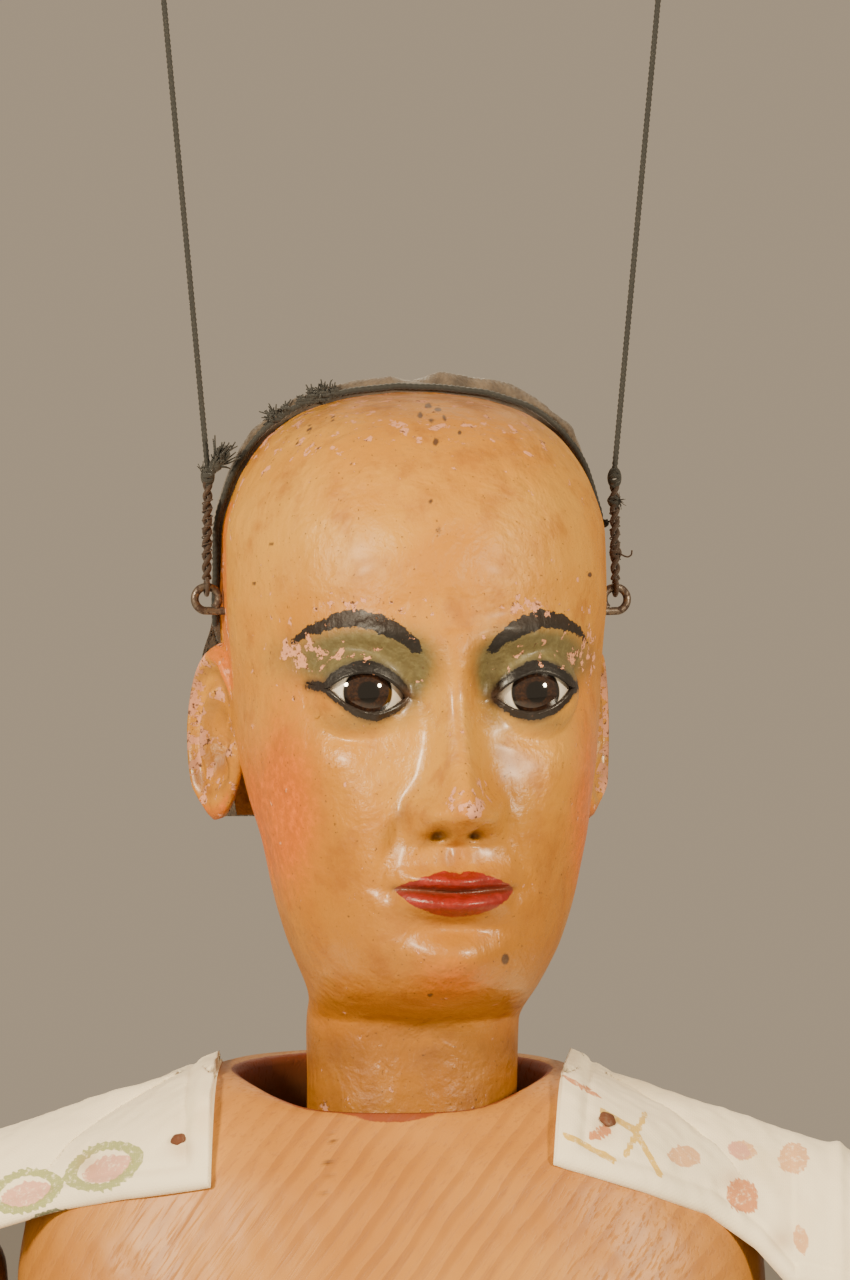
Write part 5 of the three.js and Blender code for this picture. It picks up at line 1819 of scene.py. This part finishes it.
    def _print(self, piece: Piece) -> None:
        """Writes the masks of the printed leaves, stems and rust stains."""
        if self.side is Side.RIGHT:
            leaves = {"line_green": [(-76.4, -119.4, 8.2, 4.3, 14), (-60.6, -114.2, 8.8, 4.5, 20)],
                      "leaf_pink": [(-76.0, -120.0, 5.8, 2.6, 14), (-59.8, -114.6, 5.8, 2.6, 20)],
                      "leaf_dark": [(-71.0, -124.6, 5.0, 1.9, 12)], "leaf_peach": [], "leaf_orange": []}
            stems, rust = [], [(-45, -110.2), (-63.8, -114)]
        else:
            leaves = {"line_green": [], "leaf_dark": [], "leaf_pink": [(64.8, -111.8, 2.6, 1.7, -20)],
                      "leaf_peach": [(53.8, -112.4, 3.7, 2.2, -12), (75.8, -113.6, 3.2, 3.4, -60),
                                     (76.8, -129.0, 1.7, 3.0, 10), (65.6, -111.8, 3.0, 2.0, -15)],
                      "leaf_orange": [(65.4, -120.4, 4.0, 3.3, -50), (37.0, -107.4, 2.6, 1.3, 20),
                                      (33.8, -99.0, 5.0, 0.5, -30)]}
            stems = [((42.0, -111.5), (46.0, -104.5)), ((43.8, -107.0), (48.8, -115.6)),
                     ((37.4, -103.4), (43.8, -107.0)), ((30.0, -107.5), (39.5, -112.5))]
            rust = [(37.6, -106.8), (63.2, -117.4), (73.0, -129.0)]
        far = [(TORSO_X + self.side.value * dx, y, z) for dx, y, z in
               ((100, -6, -120), (112, 5, -140), (112, -8, -156), (70, 24, -118), (48, 26, -108),
                (96, 14, -122))]

        def fill(name: str) -> Callable[[Array], Array]:
            """The mask of one printed colour."""
            def work(points: Array) -> Array:
                """The mask at each point."""
                x, y, z = points.T
                total = np.zeros(len(x))
                for cx, cz, long, wide, turn in leaves.get(name, []):
                    inside = leaf(x, z, cx, cz, long, wide, turn)
                    vein = 1 - 0.5 * np.exp(-((np.cos(6 * inside) - 0.2) ** 2) * 4)
                    if name == "line_green":
                        shape = smoothstep(0.0, 0.10, inside) * smoothstep(0.62, 0.42, inside)
                        total = np.maximum(total, shape * (y < 4))
                    else:
                        total = np.maximum(total, smoothstep(0.0, 0.15, inside) * vein * (y < 4))
                for k, (cx, cy, cz) in enumerate(far):
                    if (k % 3 == 0) == (name == "leaf_orange") and name in ("leaf_orange", "leaf_peach"):
                        apart = np.sqrt((x - cx) ** 2 + ((y - cy) * 0.7) ** 2 + (z - cz) ** 2)
                        total = np.maximum(total, smoothstep(5.0, 4.0, apart) * 0.9)
                return np.clip(total, 0, 1)
            return work

        for name in ("leaf_peach", "leaf_orange", "leaf_pink", "line_green", "leaf_dark"):
            put_values(piece, name, fill(name))
        put_values(piece, "line_yellow", lambda p: np.clip(sum(
            (smoothstep(0.75, 0.35, segment_distance(p[:, 0], p[:, 2], a, b)) for a, b in stems),
            np.zeros(len(p))), 0, 1) * (p[:, 1] < 4))
        put_values(piece, "rust", lambda p: np.clip(sum(
            bump(p[:, 0], p[:, 2], cx, cz, 2.6, 2.2) * 0.55 for cx, cz in rust), 0, 1) * (p[:, 1] < 4))


@dataclass
class Torso:
    """The torso block with its socket, the straps nailed to it, the tacks and the neck pin."""

    wood: Material
    cloth: Material
    rusty: Material

    def build(self) -> None:
        """Makes the torso's pieces."""
        self._block()
        right = ((30, -114.5), (38, -116.0), (52, -118.4), (64, -121.4), (80, -126.2), (112, -133.0))
        left = ((28, -108.5), (36, -112.0), (50, -117.0), (62, -122.3), (72, -129.5), (80, -138.5),
                (112, -146.0))
        Strap(Side.RIGHT, self.cloth, right, 34.6, 1.0).build(71)
        Strap(Side.LEFT, self.cloth, left, 34.0, -3.6).build(72)
        for number, (side, place, x, z) in enumerate((
                (Side.RIGHT, "inner", -45, -110), (Side.RIGHT, "outer", -63.8, -114),
                (Side.LEFT, "inner", 37.6, -106.8), (Side.LEFT, "middle", 63.2, -117.4),
                (Side.LEFT, "outer", 73, -129.0))):
            self._tack(side, place, x, z, number)

    def _block(self) -> None:
        """The wood: outside from the foot up, over the rim and down into the socket."""
        z = np.concatenate([np.linspace(-262, -140, 90, endpoint=False), np.linspace(-140, -97, 90)])
        width, depth, centre = torso_size(z)
        columns = 288
        outside = superellipse_rings(z, width, depth, centre, TORSO_POWER, columns)
        a, b = SOCKET_HALF
        wall = [(-96.2, 34.2, 30.6, 1.4, 2.3), (-96.0, 32.6, 29.6, 0.8, 2.1), (-96.6, 31.2, 28.8, 0.3, 2.0),
                (-98.0, a, b, 0, 2), (-103, a, b, 0, 2), (-115, a, b, 0, 2), (-130, a - 0.4, b - 0.4, 0, 2),
                (-142, a - 1.2, b - 1.2, 0, 2), (-147, a - 6, b - 5, 0, 2)]
        inside = np.concatenate([superellipse_rings(np.array([r[0]], float), np.array([r[1]], float),
                                                    np.array([r[2]], float), np.array([r[3]], float),
                                                    r[4], columns) for r in wall])
        rings = np.concatenate([outside, inside])
        front = smoothstep(0.0, 30.0, -rings[..., 1])
        upper = smoothstep(-122, -98, rings[..., 2])
        rings[..., 2] += TORSO_TILT * rings[..., 1] - SOCKET_FRONT_DIP * front * upper * \
            smoothstep(44.0, 14.0, np.abs(rings[..., 0]))
        carve = smooth_noise(rings, 26.0, 81, 3)[..., None] * 0.35
        outward = np.stack([rings[..., 0], rings[..., 1], 0 * rings[..., 0]], axis=-1)
        outward = unit(outward)
        rings = rings + outward * carve + np.array([TORSO_X, 0, 0])
        block = make_object("torso", [closed_rings(rings)])

        def socket_shade_mask(points: Array) -> Array:
            """Painted shade inside the hollow that the neck sits in."""
            reach = np.hypot((points[:, 0] - TORSO_X) / a, points[:, 1] / b)
            depth = points[:, 2] - 0.14 * points[:, 1]
            return smoothstep(1.035, 1.0, reach) * smoothstep(-97.5, -101.5, depth)

        def red_rim(points: Array) -> Array:
            """The red band round that hollow."""
            reach = np.hypot((points[:, 0] - TORSO_X) / a, points[:, 1] / b)
            return smoothstep(1.075, 1.02, reach) * smoothstep(-110.0, -104.0, points[:, 2])

        def crack(points: Array) -> Array:
            """The fine crack in the chest."""
            x, y, z = points.T
            line = -15.4 - 2.0 * (z + 108.6) / -10.0 * 0.9 + 0.35 * np.sin(z * 1.3)
            ends = smoothstep(-119.5, -117.5, z), smoothstep(-106.5, -108, z)
            fine = smoothstep(0.35, 0.1, np.abs(x - line)) * ends[0] * ends[1]
            return fine * (y < -10)

        # The painted shade inside the neck socket.
        put_values(block, "socket", socket_shade_mask)
        put_values(block, "rim", red_rim)
        put_values(block, "crack", crack)
        finish_piece(block, "torso", self.wood, ["torso"])
        pin_path = np.array([[TORSO_X - 50.0, 0, -134.8], [TORSO_X, 0, -134.8], [TORSO_X + 50.0, 0, -134.8]])
        pin = make_object("neck_pin", [tube_along(pin_path, 2.5, 24)])
        finish_piece(pin, "torso", self.rusty, ["neck_pin"])

    def _tack(self, side: Side, place: str, x: float, z: float, number: int) -> None:
        """One tack: a worn domed head on the cloth and a round shank into the wood."""
        level = z + TORSO_TILT * 34.0
        y = float(torso_front(np.array(x - TORSO_X), np.array(level), 0.0))
        eps = 0.5
        slope_x = float(torso_front(np.array(x - TORSO_X + eps), np.array(level))) - y
        slope_z = float(torso_front(np.array(x - TORSO_X), np.array(level + eps))) - y
        out = np.array([slope_x / eps, -1.0, slope_z / eps])
        out = unit(out)
        base = np.array([x, y, z]) + out * 2.2
        draw = np.random.default_rng(90 + number)
        side_way = np.cross(out, [0, 0, 1.0])
        side_way = unit(side_way)
        up_way = np.cross(side_way, out)
        angle = 2 * math.pi * np.arange(28) / 28
        ragged = 1 + 0.10 * np.sin(2 * angle + draw.uniform(0, 6)) \
            + 0.06 * np.sin(5 * angle + draw.uniform(0, 6))
        small = 0.75 if side is Side.RIGHT else 1.0
        outline = ((-8.0, 0.15), (-7.0, 0.55), (-0.3, 0.6), (-0.2, 1.7), (0.15, 1.95), (0.55, 1.75),
                   (0.95, 1.1),
                   (1.1, 0.3))
        rings = []
        for height, radius in outline:
            r = (radius * small * (ragged if radius > 1 else 1.0)) * np.ones(28)
            rings.append(base + out * height * (small if height > 0 else 1) + r[:, None] * (
                np.cos(angle)[:, None] * side_way + np.sin(angle)[:, None] * up_way))
        shells = [closed_rings(np.array(rings))]
        if place == "outer" and side is Side.LEFT:
            nail = np.array([[0, -0.2, 0], [-0.2, -1.3, 0.8], [-0.9, -2.0, 2.4], [-1.9, -2.2, 4.8]]) + base
            shells.append(tube_along(smooth_path(nail, 24), np.linspace(0.85, 0.75, 24), 10))
            cap = np.array([[-1.9, -2.2, 4.7], [-2.1, -2.3, 5.2]]) + base
            shells.append(tube_along(cap, np.array([1.15, 1.05]), 12))
        name = f"strap_tack_{side.word}_{place}"
        piece = make_object(name, shells)
        finish_piece(piece, "torso", self.rusty, [name])


# ----------------------------------------------------- pelvis, arms and legs
@dataclass(frozen=True)
class JointSize:
    """A pin joint: radius of its cheeks and tongue, thickness of the tongue, radius of the pin, shoulder."""

    cheek: float
    tongue: float
    thickness: float
    pin: float
    shoulder: float
    half_width: float


ELBOW = JointSize(11, 8.5, 8, 1.5, 12, 11.5)
WRIST = JointSize(8, 6, 5, 1.0, 9, 8)
KNEE = JointSize(14, 11, 10, 1.75, 15, 15)
ANKLE = JointSize(10, 8, 7, 1.5, 11, 11)
RUNNING = 0.4
SHOULDER_Z, ELBOW_Z, WRIST_Z = -138.0, -265.0, -370.0
PELVIS_TOP, PELVIS_FOOT = -282.2, -340.2
THIGH_TOP, KNEE_Z, ANKLE_Z, SOLE_Z = -360.4, -550.4, -740.4, -780.4
KNEE_Y, ANKLE_Y, LEG_X = -2.0, 5.0, 25.0


def stadium(x0: float, x1: float, radius: float, reach: float, y: float, z: float) -> Shell:
    """A plate with one round end: a disc about (y, z) drawn out upwards or downwards, its edges eased.

    Args:
        x0: One face.
        x1: The other face.
        radius: The round end's radius.
        reach: How far the straight part goes, upwards if positive.
        y: The disc's middle.
        z: The disc's middle.

    Returns:
        The shell.
    """
    count = 64
    t = np.linspace(0, math.pi, count)
    sign = 1.0 if reach >= 0 else -1.0
    round_end = np.stack([np.cos(t), -sign * np.sin(t)], axis=1) * radius
    top = np.array([[-0.9 * radius, reach], [0.9 * radius, reach]])
    outline = np.concatenate([round_end, top])
    ease = min(0.6, 0.2 * abs(x1 - x0))
    steps = ((x0, 1 - ease / radius), (x0 + ease * 0.3, 1 - 0.3 * ease / radius), (x0 + ease, 1.0),
             (x1 - ease, 1.0),
             (x1 - ease * 0.3, 1 - 0.3 * ease / radius), (x1, 1 - ease / radius))
    rings = [np.stack([np.full(len(outline), x), outline[:, 0] * k + y, outline[:, 1] * k + z], axis=1)
             for x, k in steps]
    return closed_rings(np.array(rings))


def fork(x: float, y: float, z: float, size: JointSize) -> list[Shell]:
    """The two cheeks of a joint, above its pin."""
    inner = size.thickness / 2 + RUNNING
    reach = size.tongue + 6.0
    return [stadium(x + s * inner, x + s * size.half_width, size.cheek, reach, y, z) for s in (-1, 1)]


def tongue(x: float, y: float, z: float, size: JointSize) -> Shell:
    """The tongue of a joint, on the piece below its pin."""
    half = size.thickness / 2
    return stadium(x - half, x + half, size.tongue, -size.shoulder - 3.0, y, z)


def limb(rows: Sequence[Floats], x: float, count: int = 90, columns: int = 72, power: float = 2.1,
         seed: int = 0, carve: float = 0.25) -> Array:
    """Rings of a carved limb with faint knife facets.

    Args:
        rows: (height, half width, half depth, centre y, centre x shift) from the bottom up.
        x: Its middle.
        count: Rings.
        columns: Points round.
        power: Squareness.
        seed: Which limb, for its facets.
        carve: Depth of the facets.

    Returns:
        The rings.
    """
    table = np.array([[*row, 0.0, 0.0][:5] for row in rows], float)
    step = np.concatenate([[0], np.cumsum(np.hypot(np.diff(table[:, 0]), np.diff(table[:, 1])))])
    t = np.linspace(0, step[-1], count)
    z, width, depth, y, shift = (curve_through(t, step, table[:, k]) for k in range(5))
    rings = superellipse_rings(z, width, depth, y, power, columns)
    rings[..., 0] += shift[:, None]
    outward = np.stack([rings[..., 0] - shift[:, None], rings[..., 1] - y[:, None], 0 * rings[..., 0]],
                       axis=-1)
    outward /= np.linalg.norm(outward, axis=-1, keepdims=True) + 1e-9
    rings = rings + outward * smooth_noise(rings, 24.0, 100 + seed, 3)[..., None] * carve
    rings[..., 0] += x
    return rings


@dataclass
class Figure:
    """Everything below the shoulders: arms, hands, pelvis, legs and shoes, with pins and screw eyes."""

    wood: Material
    # A darker copy of the bare wood for the arms, as painted shade.
    dark_wood: Material
    skin: Material
    shoe: Material
    steel: Material

    def build(self) -> None:
        """Makes the pieces."""
        for side in Side:
            self._arm(side)
            self._leg(side)
            LOG.info("arm and leg %s", side.word)
        self._pelvis()
        self._eyes()

    def _piece(self, name: str, shells: Sequence[Shell], body: str, slot: str, material: Material) -> None:
        """One piece that stands for the CAD node of its own name."""
        made = make_object(name, shells)
        if slot == "painted_skin":
            put_values(made, "chip", lambda p: np.full(len(p), 0.42))
            # The hand is painted darker towards the wrist.
            put_values(made, "grime", lambda p: 0.5 * smoothstep(-395, -376, p[:, 2]))
        finish_piece(made, body, material, [name])

    def _pin(self, name: str, size: JointSize, x: float, y: float, z: float, body: str) -> None:
        """A pin through a joint."""
        ends = size.half_width
        path = np.array([[x - ends, y, z], [x, y, z], [x + ends, y, z]])
        self._piece(name, [tube_along(path, size.pin, 20)], body, "steel_wire", self.steel)

    def _arm(self, side: Side) -> None:
        """Upper arm, forearm and hand of one side, with their pins."""
        x, word, sign = TORSO_X + side.value * ARM_X, side.word, side.value
        inset = 2.4 if side is Side.RIGHT else 0.0
        wider = 2.0 if side is Side.RIGHT else 0.0
        rows = [(ELBOW_Z + 9.5, 11.4, 10.8), (ELBOW_Z + 14, 11.8, 11.4), (ELBOW_Z + 32, 13, 13),
                (SHOULDER_Z - 62, 14, 14.8, 0, 0), (SHOULDER_Z - 34, 14.4 + wider, 15.8, 0, inset * 0.8),
                (SHOULDER_Z - 8, 15 + wider, 16, 0, inset), (SHOULDER_Z + 3, 14.4 + wider, 15, 0, inset),
                (SHOULDER_Z + 9, 13.2, 12, 0, inset), (SHOULDER_Z + 12.4, 8.4, 7.5, 0, inset),
                (SHOULDER_Z + 13.4, 3, 3, 0, inset)]
        shells = [closed_rings(limb(rows, x, seed=1 + sign))] + fork(x, 0, ELBOW_Z, ELBOW)
        self._piece(f"upper_arm_{word}", shells, f"upper_arm_{word}", "dark_wood", self.dark_wood)
        self._pin(f"elbow_pin_{word}", ELBOW, x, 0, ELBOW_Z, f"upper_arm_{word}")
        rows = [(WRIST_Z + 7.0, 7.9, 7.8), (WRIST_Z + 24, 8.5, 8.6), (WRIST_Z + 60, 11, 11.4),
                (ELBOW_Z - 24, 12, 12.5),
                (ELBOW_Z - 15, 11.4, 11.6), (ELBOW_Z - 12.4, 9.4, 9.4)]
        rings = limb(rows, x, seed=4 + sign)
        rings[..., 2] -= np.clip(-rings[..., 1], 0, None) * smoothstep(-24, -12, rings[..., 2] - ELBOW_Z)
        shells = [closed_rings(rings), tongue(x, 0, ELBOW_Z, ELBOW)] + fork(x, 0, WRIST_Z, WRIST)
        self._piece(f"forearm_{word}", shells, f"forearm_{word}", "dark_wood", self.dark_wood)
        self._pin(f"wrist_pin_{word}", WRIST, x, 0, WRIST_Z, f"forearm_{word}")
        palm = [(WRIST_Z - 47, 5.0, 12.4, -0.5), (WRIST_Z - 40, 6.0, 13.6, -0.4),
                (WRIST_Z - 28, 6.6, 13.6, 0),
                (WRIST_Z - 17, 6.6, 10, 0), (WRIST_Z - 10, 6.0, 7.6, 0), (WRIST_Z - 8.4, 4.6, 6.0, 0)]
        shells = [closed_rings(limb(palm, x, 50, 56, 2.3, 7 + sign)), tongue(x, 0, WRIST_Z, WRIST)]
        for y, long in ((-9.6, 23.0), (-3.4, 27.5), (2.9, 26.0), (9.0, 20.0)):
            t = np.linspace(0, 1, 22)
            path = np.stack([x - sign * 3.6 * t ** 2, y * (1 - 0.10 * t) - 0.6 * t, WRIST_Z - 44 - long * t],
                            axis=1)
            knuckle = 1 + 0.07 * ridge(t, 0.45, 0.08) + 0.05 * ridge(t, 0.75, 0.07)
            tip = np.sqrt(np.clip(1 - ((t - 0.9) / 0.1).clip(0) ** 2, 0.02, 1))
            radius = 3.25 * (1 - 0.22 * t) * knuckle * tip
            shells.append(tube_along(path, radius, 18))
        t = np.linspace(0, 1, 22)
        path = np.stack([x - sign * (1 + 2.5 * t), -10 - 6.5 * np.sin(t * 1.9), WRIST_Z - 20 - 27 * t],
                        axis=1)
        radius = 3.9 * (1 - 0.2 * t) * np.sqrt(np.clip(1 - ((t - 0.88) / 0.12).clip(0) ** 2, 0.02, 1))
        shells.append(tube_along(path, radius, 18))
        self._piece(f"hand_{word}", shells, f"hand_{word}", "painted_skin", self.skin)

    def _leg(self, side: Side) -> None:
        """Thigh, shin and shoe of one side, with their pins."""
        x, word, sign = TORSO_X + side.value * LEG_X, side.word, side.value
        rows = [(KNEE_Z + 12, 14.9, 13.6, KNEE_Y), (KNEE_Z + 17, 15.2, 14.4, KNEE_Y),
                (KNEE_Z + 42, 16.5, 17, KNEE_Y),
                (KNEE_Z + 110, 19.5, 20, -1), (THIGH_TOP - 26, 20, 20, 0), (THIGH_TOP - 10, 18, 18, 0),
                (THIGH_TOP - 2.5, 13, 13, 0), (THIGH_TOP - 0.2, 8, 8, 0)]
        shells = [closed_rings(limb(rows, x, 110, seed=10 + sign))] + fork(x, KNEE_Y, KNEE_Z, KNEE)
        self._piece(f"thigh_{word}", shells, f"thigh_{word}", "pale_wood", self.wood)
        self._pin(f"knee_pin_{word}", KNEE, x, KNEE_Y, KNEE_Z, f"thigh_{word}")
        rows = [(ANKLE_Z + 9, 10.8, 9.8, ANKLE_Y), (ANKLE_Z + 30, 11, 11.5, ANKLE_Y - 1),
                (ANKLE_Z + 80, 13, 14.5, 3.6),
                (ANKLE_Z + 120, 14.6, 17, 2.5), (KNEE_Z - 32, 15, 16, 0), (KNEE_Z - 19, 14.4, 14.4, KNEE_Y),
                (KNEE_Z - 15.4, 12, 12, KNEE_Y)]
        rings = limb(rows, x, 110, seed=13 + sign)
        ahead = np.clip(rings[..., 1] - KNEE_Y, 0, None)
        rings[..., 2] -= ahead * smoothstep(-28, -15, rings[..., 2] - KNEE_Z)
        shells = [closed_rings(rings), tongue(x, KNEE_Y, KNEE_Z, KNEE)] + fork(x, ANKLE_Y, ANKLE_Z, ANKLE)
        self._piece(f"shin_{word}", shells, f"shin_{word}", "pale_wood", self.wood)
        self._pin(f"ankle_pin_{word}", ANKLE, x, ANKLE_Y, ANKLE_Z, f"shin_{word}")
        middle = -16.0
        rows = [(SOLE_Z, 13.2, 36.2, middle), (SOLE_Z + 0.6, 14.3, 37.4, middle),
                (SOLE_Z + 2.6, 14.5, 37.6, middle),
                (SOLE_Z + 3.0, 13.6, 36.6, middle), (SOLE_Z + 6, 14.6, 37.2, middle),
                (SOLE_Z + 11, 14.2, 35.6, middle + 1.2),
                (SOLE_Z + 15, 13.4, 31.5, middle + 4.4), (SOLE_Z + 20, 12.0, 24.5, middle + 11),
                (SOLE_Z + 25, 10.8, 17.5, middle + 17.5), (SOLE_Z + 27.6, 10.2, 13.2, middle + 20),
                (SOLE_Z + 28.4, 8.6, 10.6, middle + 20.6)]
        rings = limb(rows, x, 90, 96, 2.35, 16 + sign, 0.08)
        toe = smoothstep(-20, -54, rings[..., 1])
        rings[..., 0] = x + (rings[..., 0] - x) * (1 - 0.14 * toe)
        shells = [closed_rings(rings), tongue(x, ANKLE_Y, ANKLE_Z, ANKLE)]
        bow = []
        for s in (-1, 1):
            t = np.linspace(0, 2 * math.pi, 40)
            bow.append(closed_tube(np.stack([x + s * (2.9 - 2.7 * np.cos(t)), -27.5 + 1.6 * np.sin(t),
                                             SOLE_Z + 17.6 + 1.2 * np.sin(t)], axis=1), 0.5, 8))
        knot_at = (x, -27.5, SOLE_Z + 17.8)
        self._piece(f"foot_{word}", shells + bow + [wound_thread(knot_at, (1, 1, 1), 0.5, 4, 0.1, 3)],
                    f"foot_{word}", "shoe_paint", self.shoe)

    def _pelvis(self) -> None:
        """The pelvis block."""
        rows = [(PELVIS_FOOT, 38, 11), (PELVIS_FOOT + 1.2, 41, 15), (PELVIS_FOOT + 5, 46, 21),
                (PELVIS_FOOT + 14, 50, 28),
                (PELVIS_FOOT + 28, 51, 31), (PELVIS_TOP - 9, 50, 31), (PELVIS_TOP - 2, 46.4, 28.2),
                (PELVIS_TOP, 43, 25)]
        shells = [closed_rings(limb(rows, TORSO_X, 90, 160, 2.4, 20, 0.35))]
        self._piece("pelvis", shells, "pelvis", "pale_wood", self.wood)

    def _eyes(self) -> None:
        """The screw eyes: a ring bent from wire, open by a hair, on a threaded shank."""
        ring, wire, shank = 5.0, 1.3, 14.0
        step = 2 * ring - 2 * wire - RUNNING

        def upper(face: float) -> float:
            """The height of a ring hung under a face."""
            return face - ring - wire - 0.3

        spots = [("neck_eye", 0.0, NECK_FOOT_Z - ring - wire - 1.7, 1, "x", "neck_swivel"),
                 ("waist_eye_upper", TORSO_X, upper(-262.0), 1, "y", "torso"),
                 ("waist_eye_lower", TORSO_X, upper(-262.0) - step, -1, "x", "pelvis")]
        for side in Side:
            x = TORSO_X + side.value * LEG_X
            spots += [(f"hip_eye_upper_{side.word}", x, upper(PELVIS_FOOT), 1, "y", "pelvis"),
                      (f"hip_eye_lower_{side.word}", x, upper(PELVIS_FOOT) - step, -1, "x",
                       f"thigh_{side.word}")]
        for name, x, z, up, facing, body in spots:
            across = (0, 1, 0) if facing == "x" else (1, 0, 0)
            start = up * 0.5 * math.pi
            arc = circle_path((x, 0, z), ring, start, start + 2 * math.pi - 0.24, 56, across)
            t = np.linspace(0, 1, 30)[:, None]
            root, tip = (np.array([x, 0, z + up * reach]) for reach in (ring + shank, ring + 0.4))
            stem = root * (1 - t) + tip * t
            thread = wire * (1 + 0.08 * np.sin(np.linspace(0, 60, 30)))
            shells = [tube_along(arc, wire, 14), tube_along(stem, thread, 12)]
            if name == "neck_eye":
                shells = [s.placed(HEAD_TURN) for s in shells]
            self._piece(name, shells, body, "steel_wire", self.steel)


# ------------------------------------------------------------------- stage
FLOOR_Z = -0.9084


def make_camera() -> Piece:
    """The camera, level and straight in front of the head.

    Returns:
        The camera object.
    """
    data = bpy.data.cameras.new("camera")
    data.lens = 210.9
    data.sensor_width = 36.0
    data.clip_end = 20.0
    camera = bpy.data.objects.new("camera", data)
    bpy.context.scene.collection.objects.link(camera)
    camera.location = (0.0026, -1.5, -0.1386)
    camera.rotation_euler = (math.radians(90), 0, 0)
    bpy.context.scene.camera = camera
    return camera


def add_light(name: str, at: Floats, aim: Floats, size: float, power: float,
              colour: Floats = (1.0, 0.85, 0.61), glints: bool = True) -> None:
    """A round soft light that looks at a point.

    Args:
        name: Its name.
        at: Where it stands.
        aim: What it looks at.
        size: Its diameter.
        power: Its power in watts.
        colour: Its colour.
        glints: Whether it shows in glossy surfaces.
    """
    data = bpy.data.lights.new(name, "AREA")
    data.shape = "DISK"
    data.size = size
    data.energy = power
    data.color = colour
    light = bpy.data.objects.new(name, data)
    bpy.context.scene.collection.objects.link(light)
    light.location = at
    light.visible_glossy = glints
    light.rotation_euler = (Vector(aim) - Vector(at)).to_track_quat("-Z", "Y").to_euler()


def make_stage() -> None:
    """Floor, world and the soft lights."""
    mesh = bpy.data.meshes.new("floor")
    mesh.from_pydata([(-6, -3, FLOOR_Z), (6, -3, FLOOR_Z), (6, 9, FLOOR_Z), (-6, 9, FLOOR_Z)], [],
                     [(0, 1, 2, 3)])
    floor = bpy.data.objects.new("floor", mesh)
    bpy.context.scene.collection.objects.link(floor)
    material, graph, shader = new_material("floor", Roughness=0.9)
    cloud = graph.noise(graph.object_place(), 3.0)
    graph.feed(shader.inputs["Base Color"], graph.mix(cloud, (0.62, 0.60, 0.57), (0.66, 0.64, 0.61)))
    mesh.materials.append(material)
    world = bpy.data.worlds.new("world")
    world.use_nodes = True
    sky = world.node_tree.nodes["Background"]
    sky.inputs["Color"].default_value = (0.80, 0.63, 0.44, 1)
    sky.inputs["Strength"].default_value = 0.52
    bpy.context.scene.world = world
    aim = (0.0, 0.0, -0.16)
    add_light("key", (-0.78, -0.86, 0.24), aim, 0.20, 21.0)
    add_light("fill", (0.86, -0.84, 0.20), aim, 0.19, 18.0)
    add_light("rim", (0.1, 0.9, 0.7), aim, 0.8, 2.5)
    add_light("body", (-1.0, -1.6, -0.2), (0, 0, -0.6), 1.0, 14.0, glints=False)


def main() -> None:
    """Builds the whole figure's looks."""
    logging.basicConfig(level=logging.INFO)
    make_camera()
    make_stage()
    effects = Effects()
    cord = Cord("waxed_cord", effects).build()
    brown = Cord("brown_thong", effects, (0.035, 0.018, 0.010), (0.17, 0.10, 0.06)).build()
    steel = Metal("old_steel", effects, (0.22, 0.175, 0.14), (0.05, 0.028, 0.02), 0.6).build()
    HeadStrings(cord, brown, steel).build()
    skin = PaintedSkin("painted_skin", effects).build()
    plain_skin = PaintedSkin("back_skin", effects, made_up=False).build()
    Head(skin, plain_skin, Putty("setting_putty").build()).build()
    Cap(WigBase("cap_cloth", effects).build(), cord).build()
    wood = CarvedWood("pale_wood", effects, marked=True).build()
    cotton = PrintedCotton("printed_cotton", effects).build()
    rusty = Metal("rusty_iron", effects, (0.20, 0.11, 0.07), (0.13, 0.045, 0.02), 0.9, 0.5, 0.55).build()
    Torso(wood, cotton, rusty).build()
    # The arms' wood: a darker copy of the bare wood, as painted shade.
    dark = CarvedWood("dark_wood", effects, (0.13, 0.062, 0.026), (0.085, 0.037, 0.016),
                      (0.028, 0.012, 0.006),
                      roughness=0.42).build()
    shoe = CarvedWood("shoe_paint", effects, (0.030, 0.017, 0.012), (0.018, 0.010, 0.008),
                      (0.006, 0.004, 0.003),
                      roughness=0.28).build()
    Figure(wood, dark, plain_skin, shoe, steel).build()


if __name__ == "__main__":
    main()
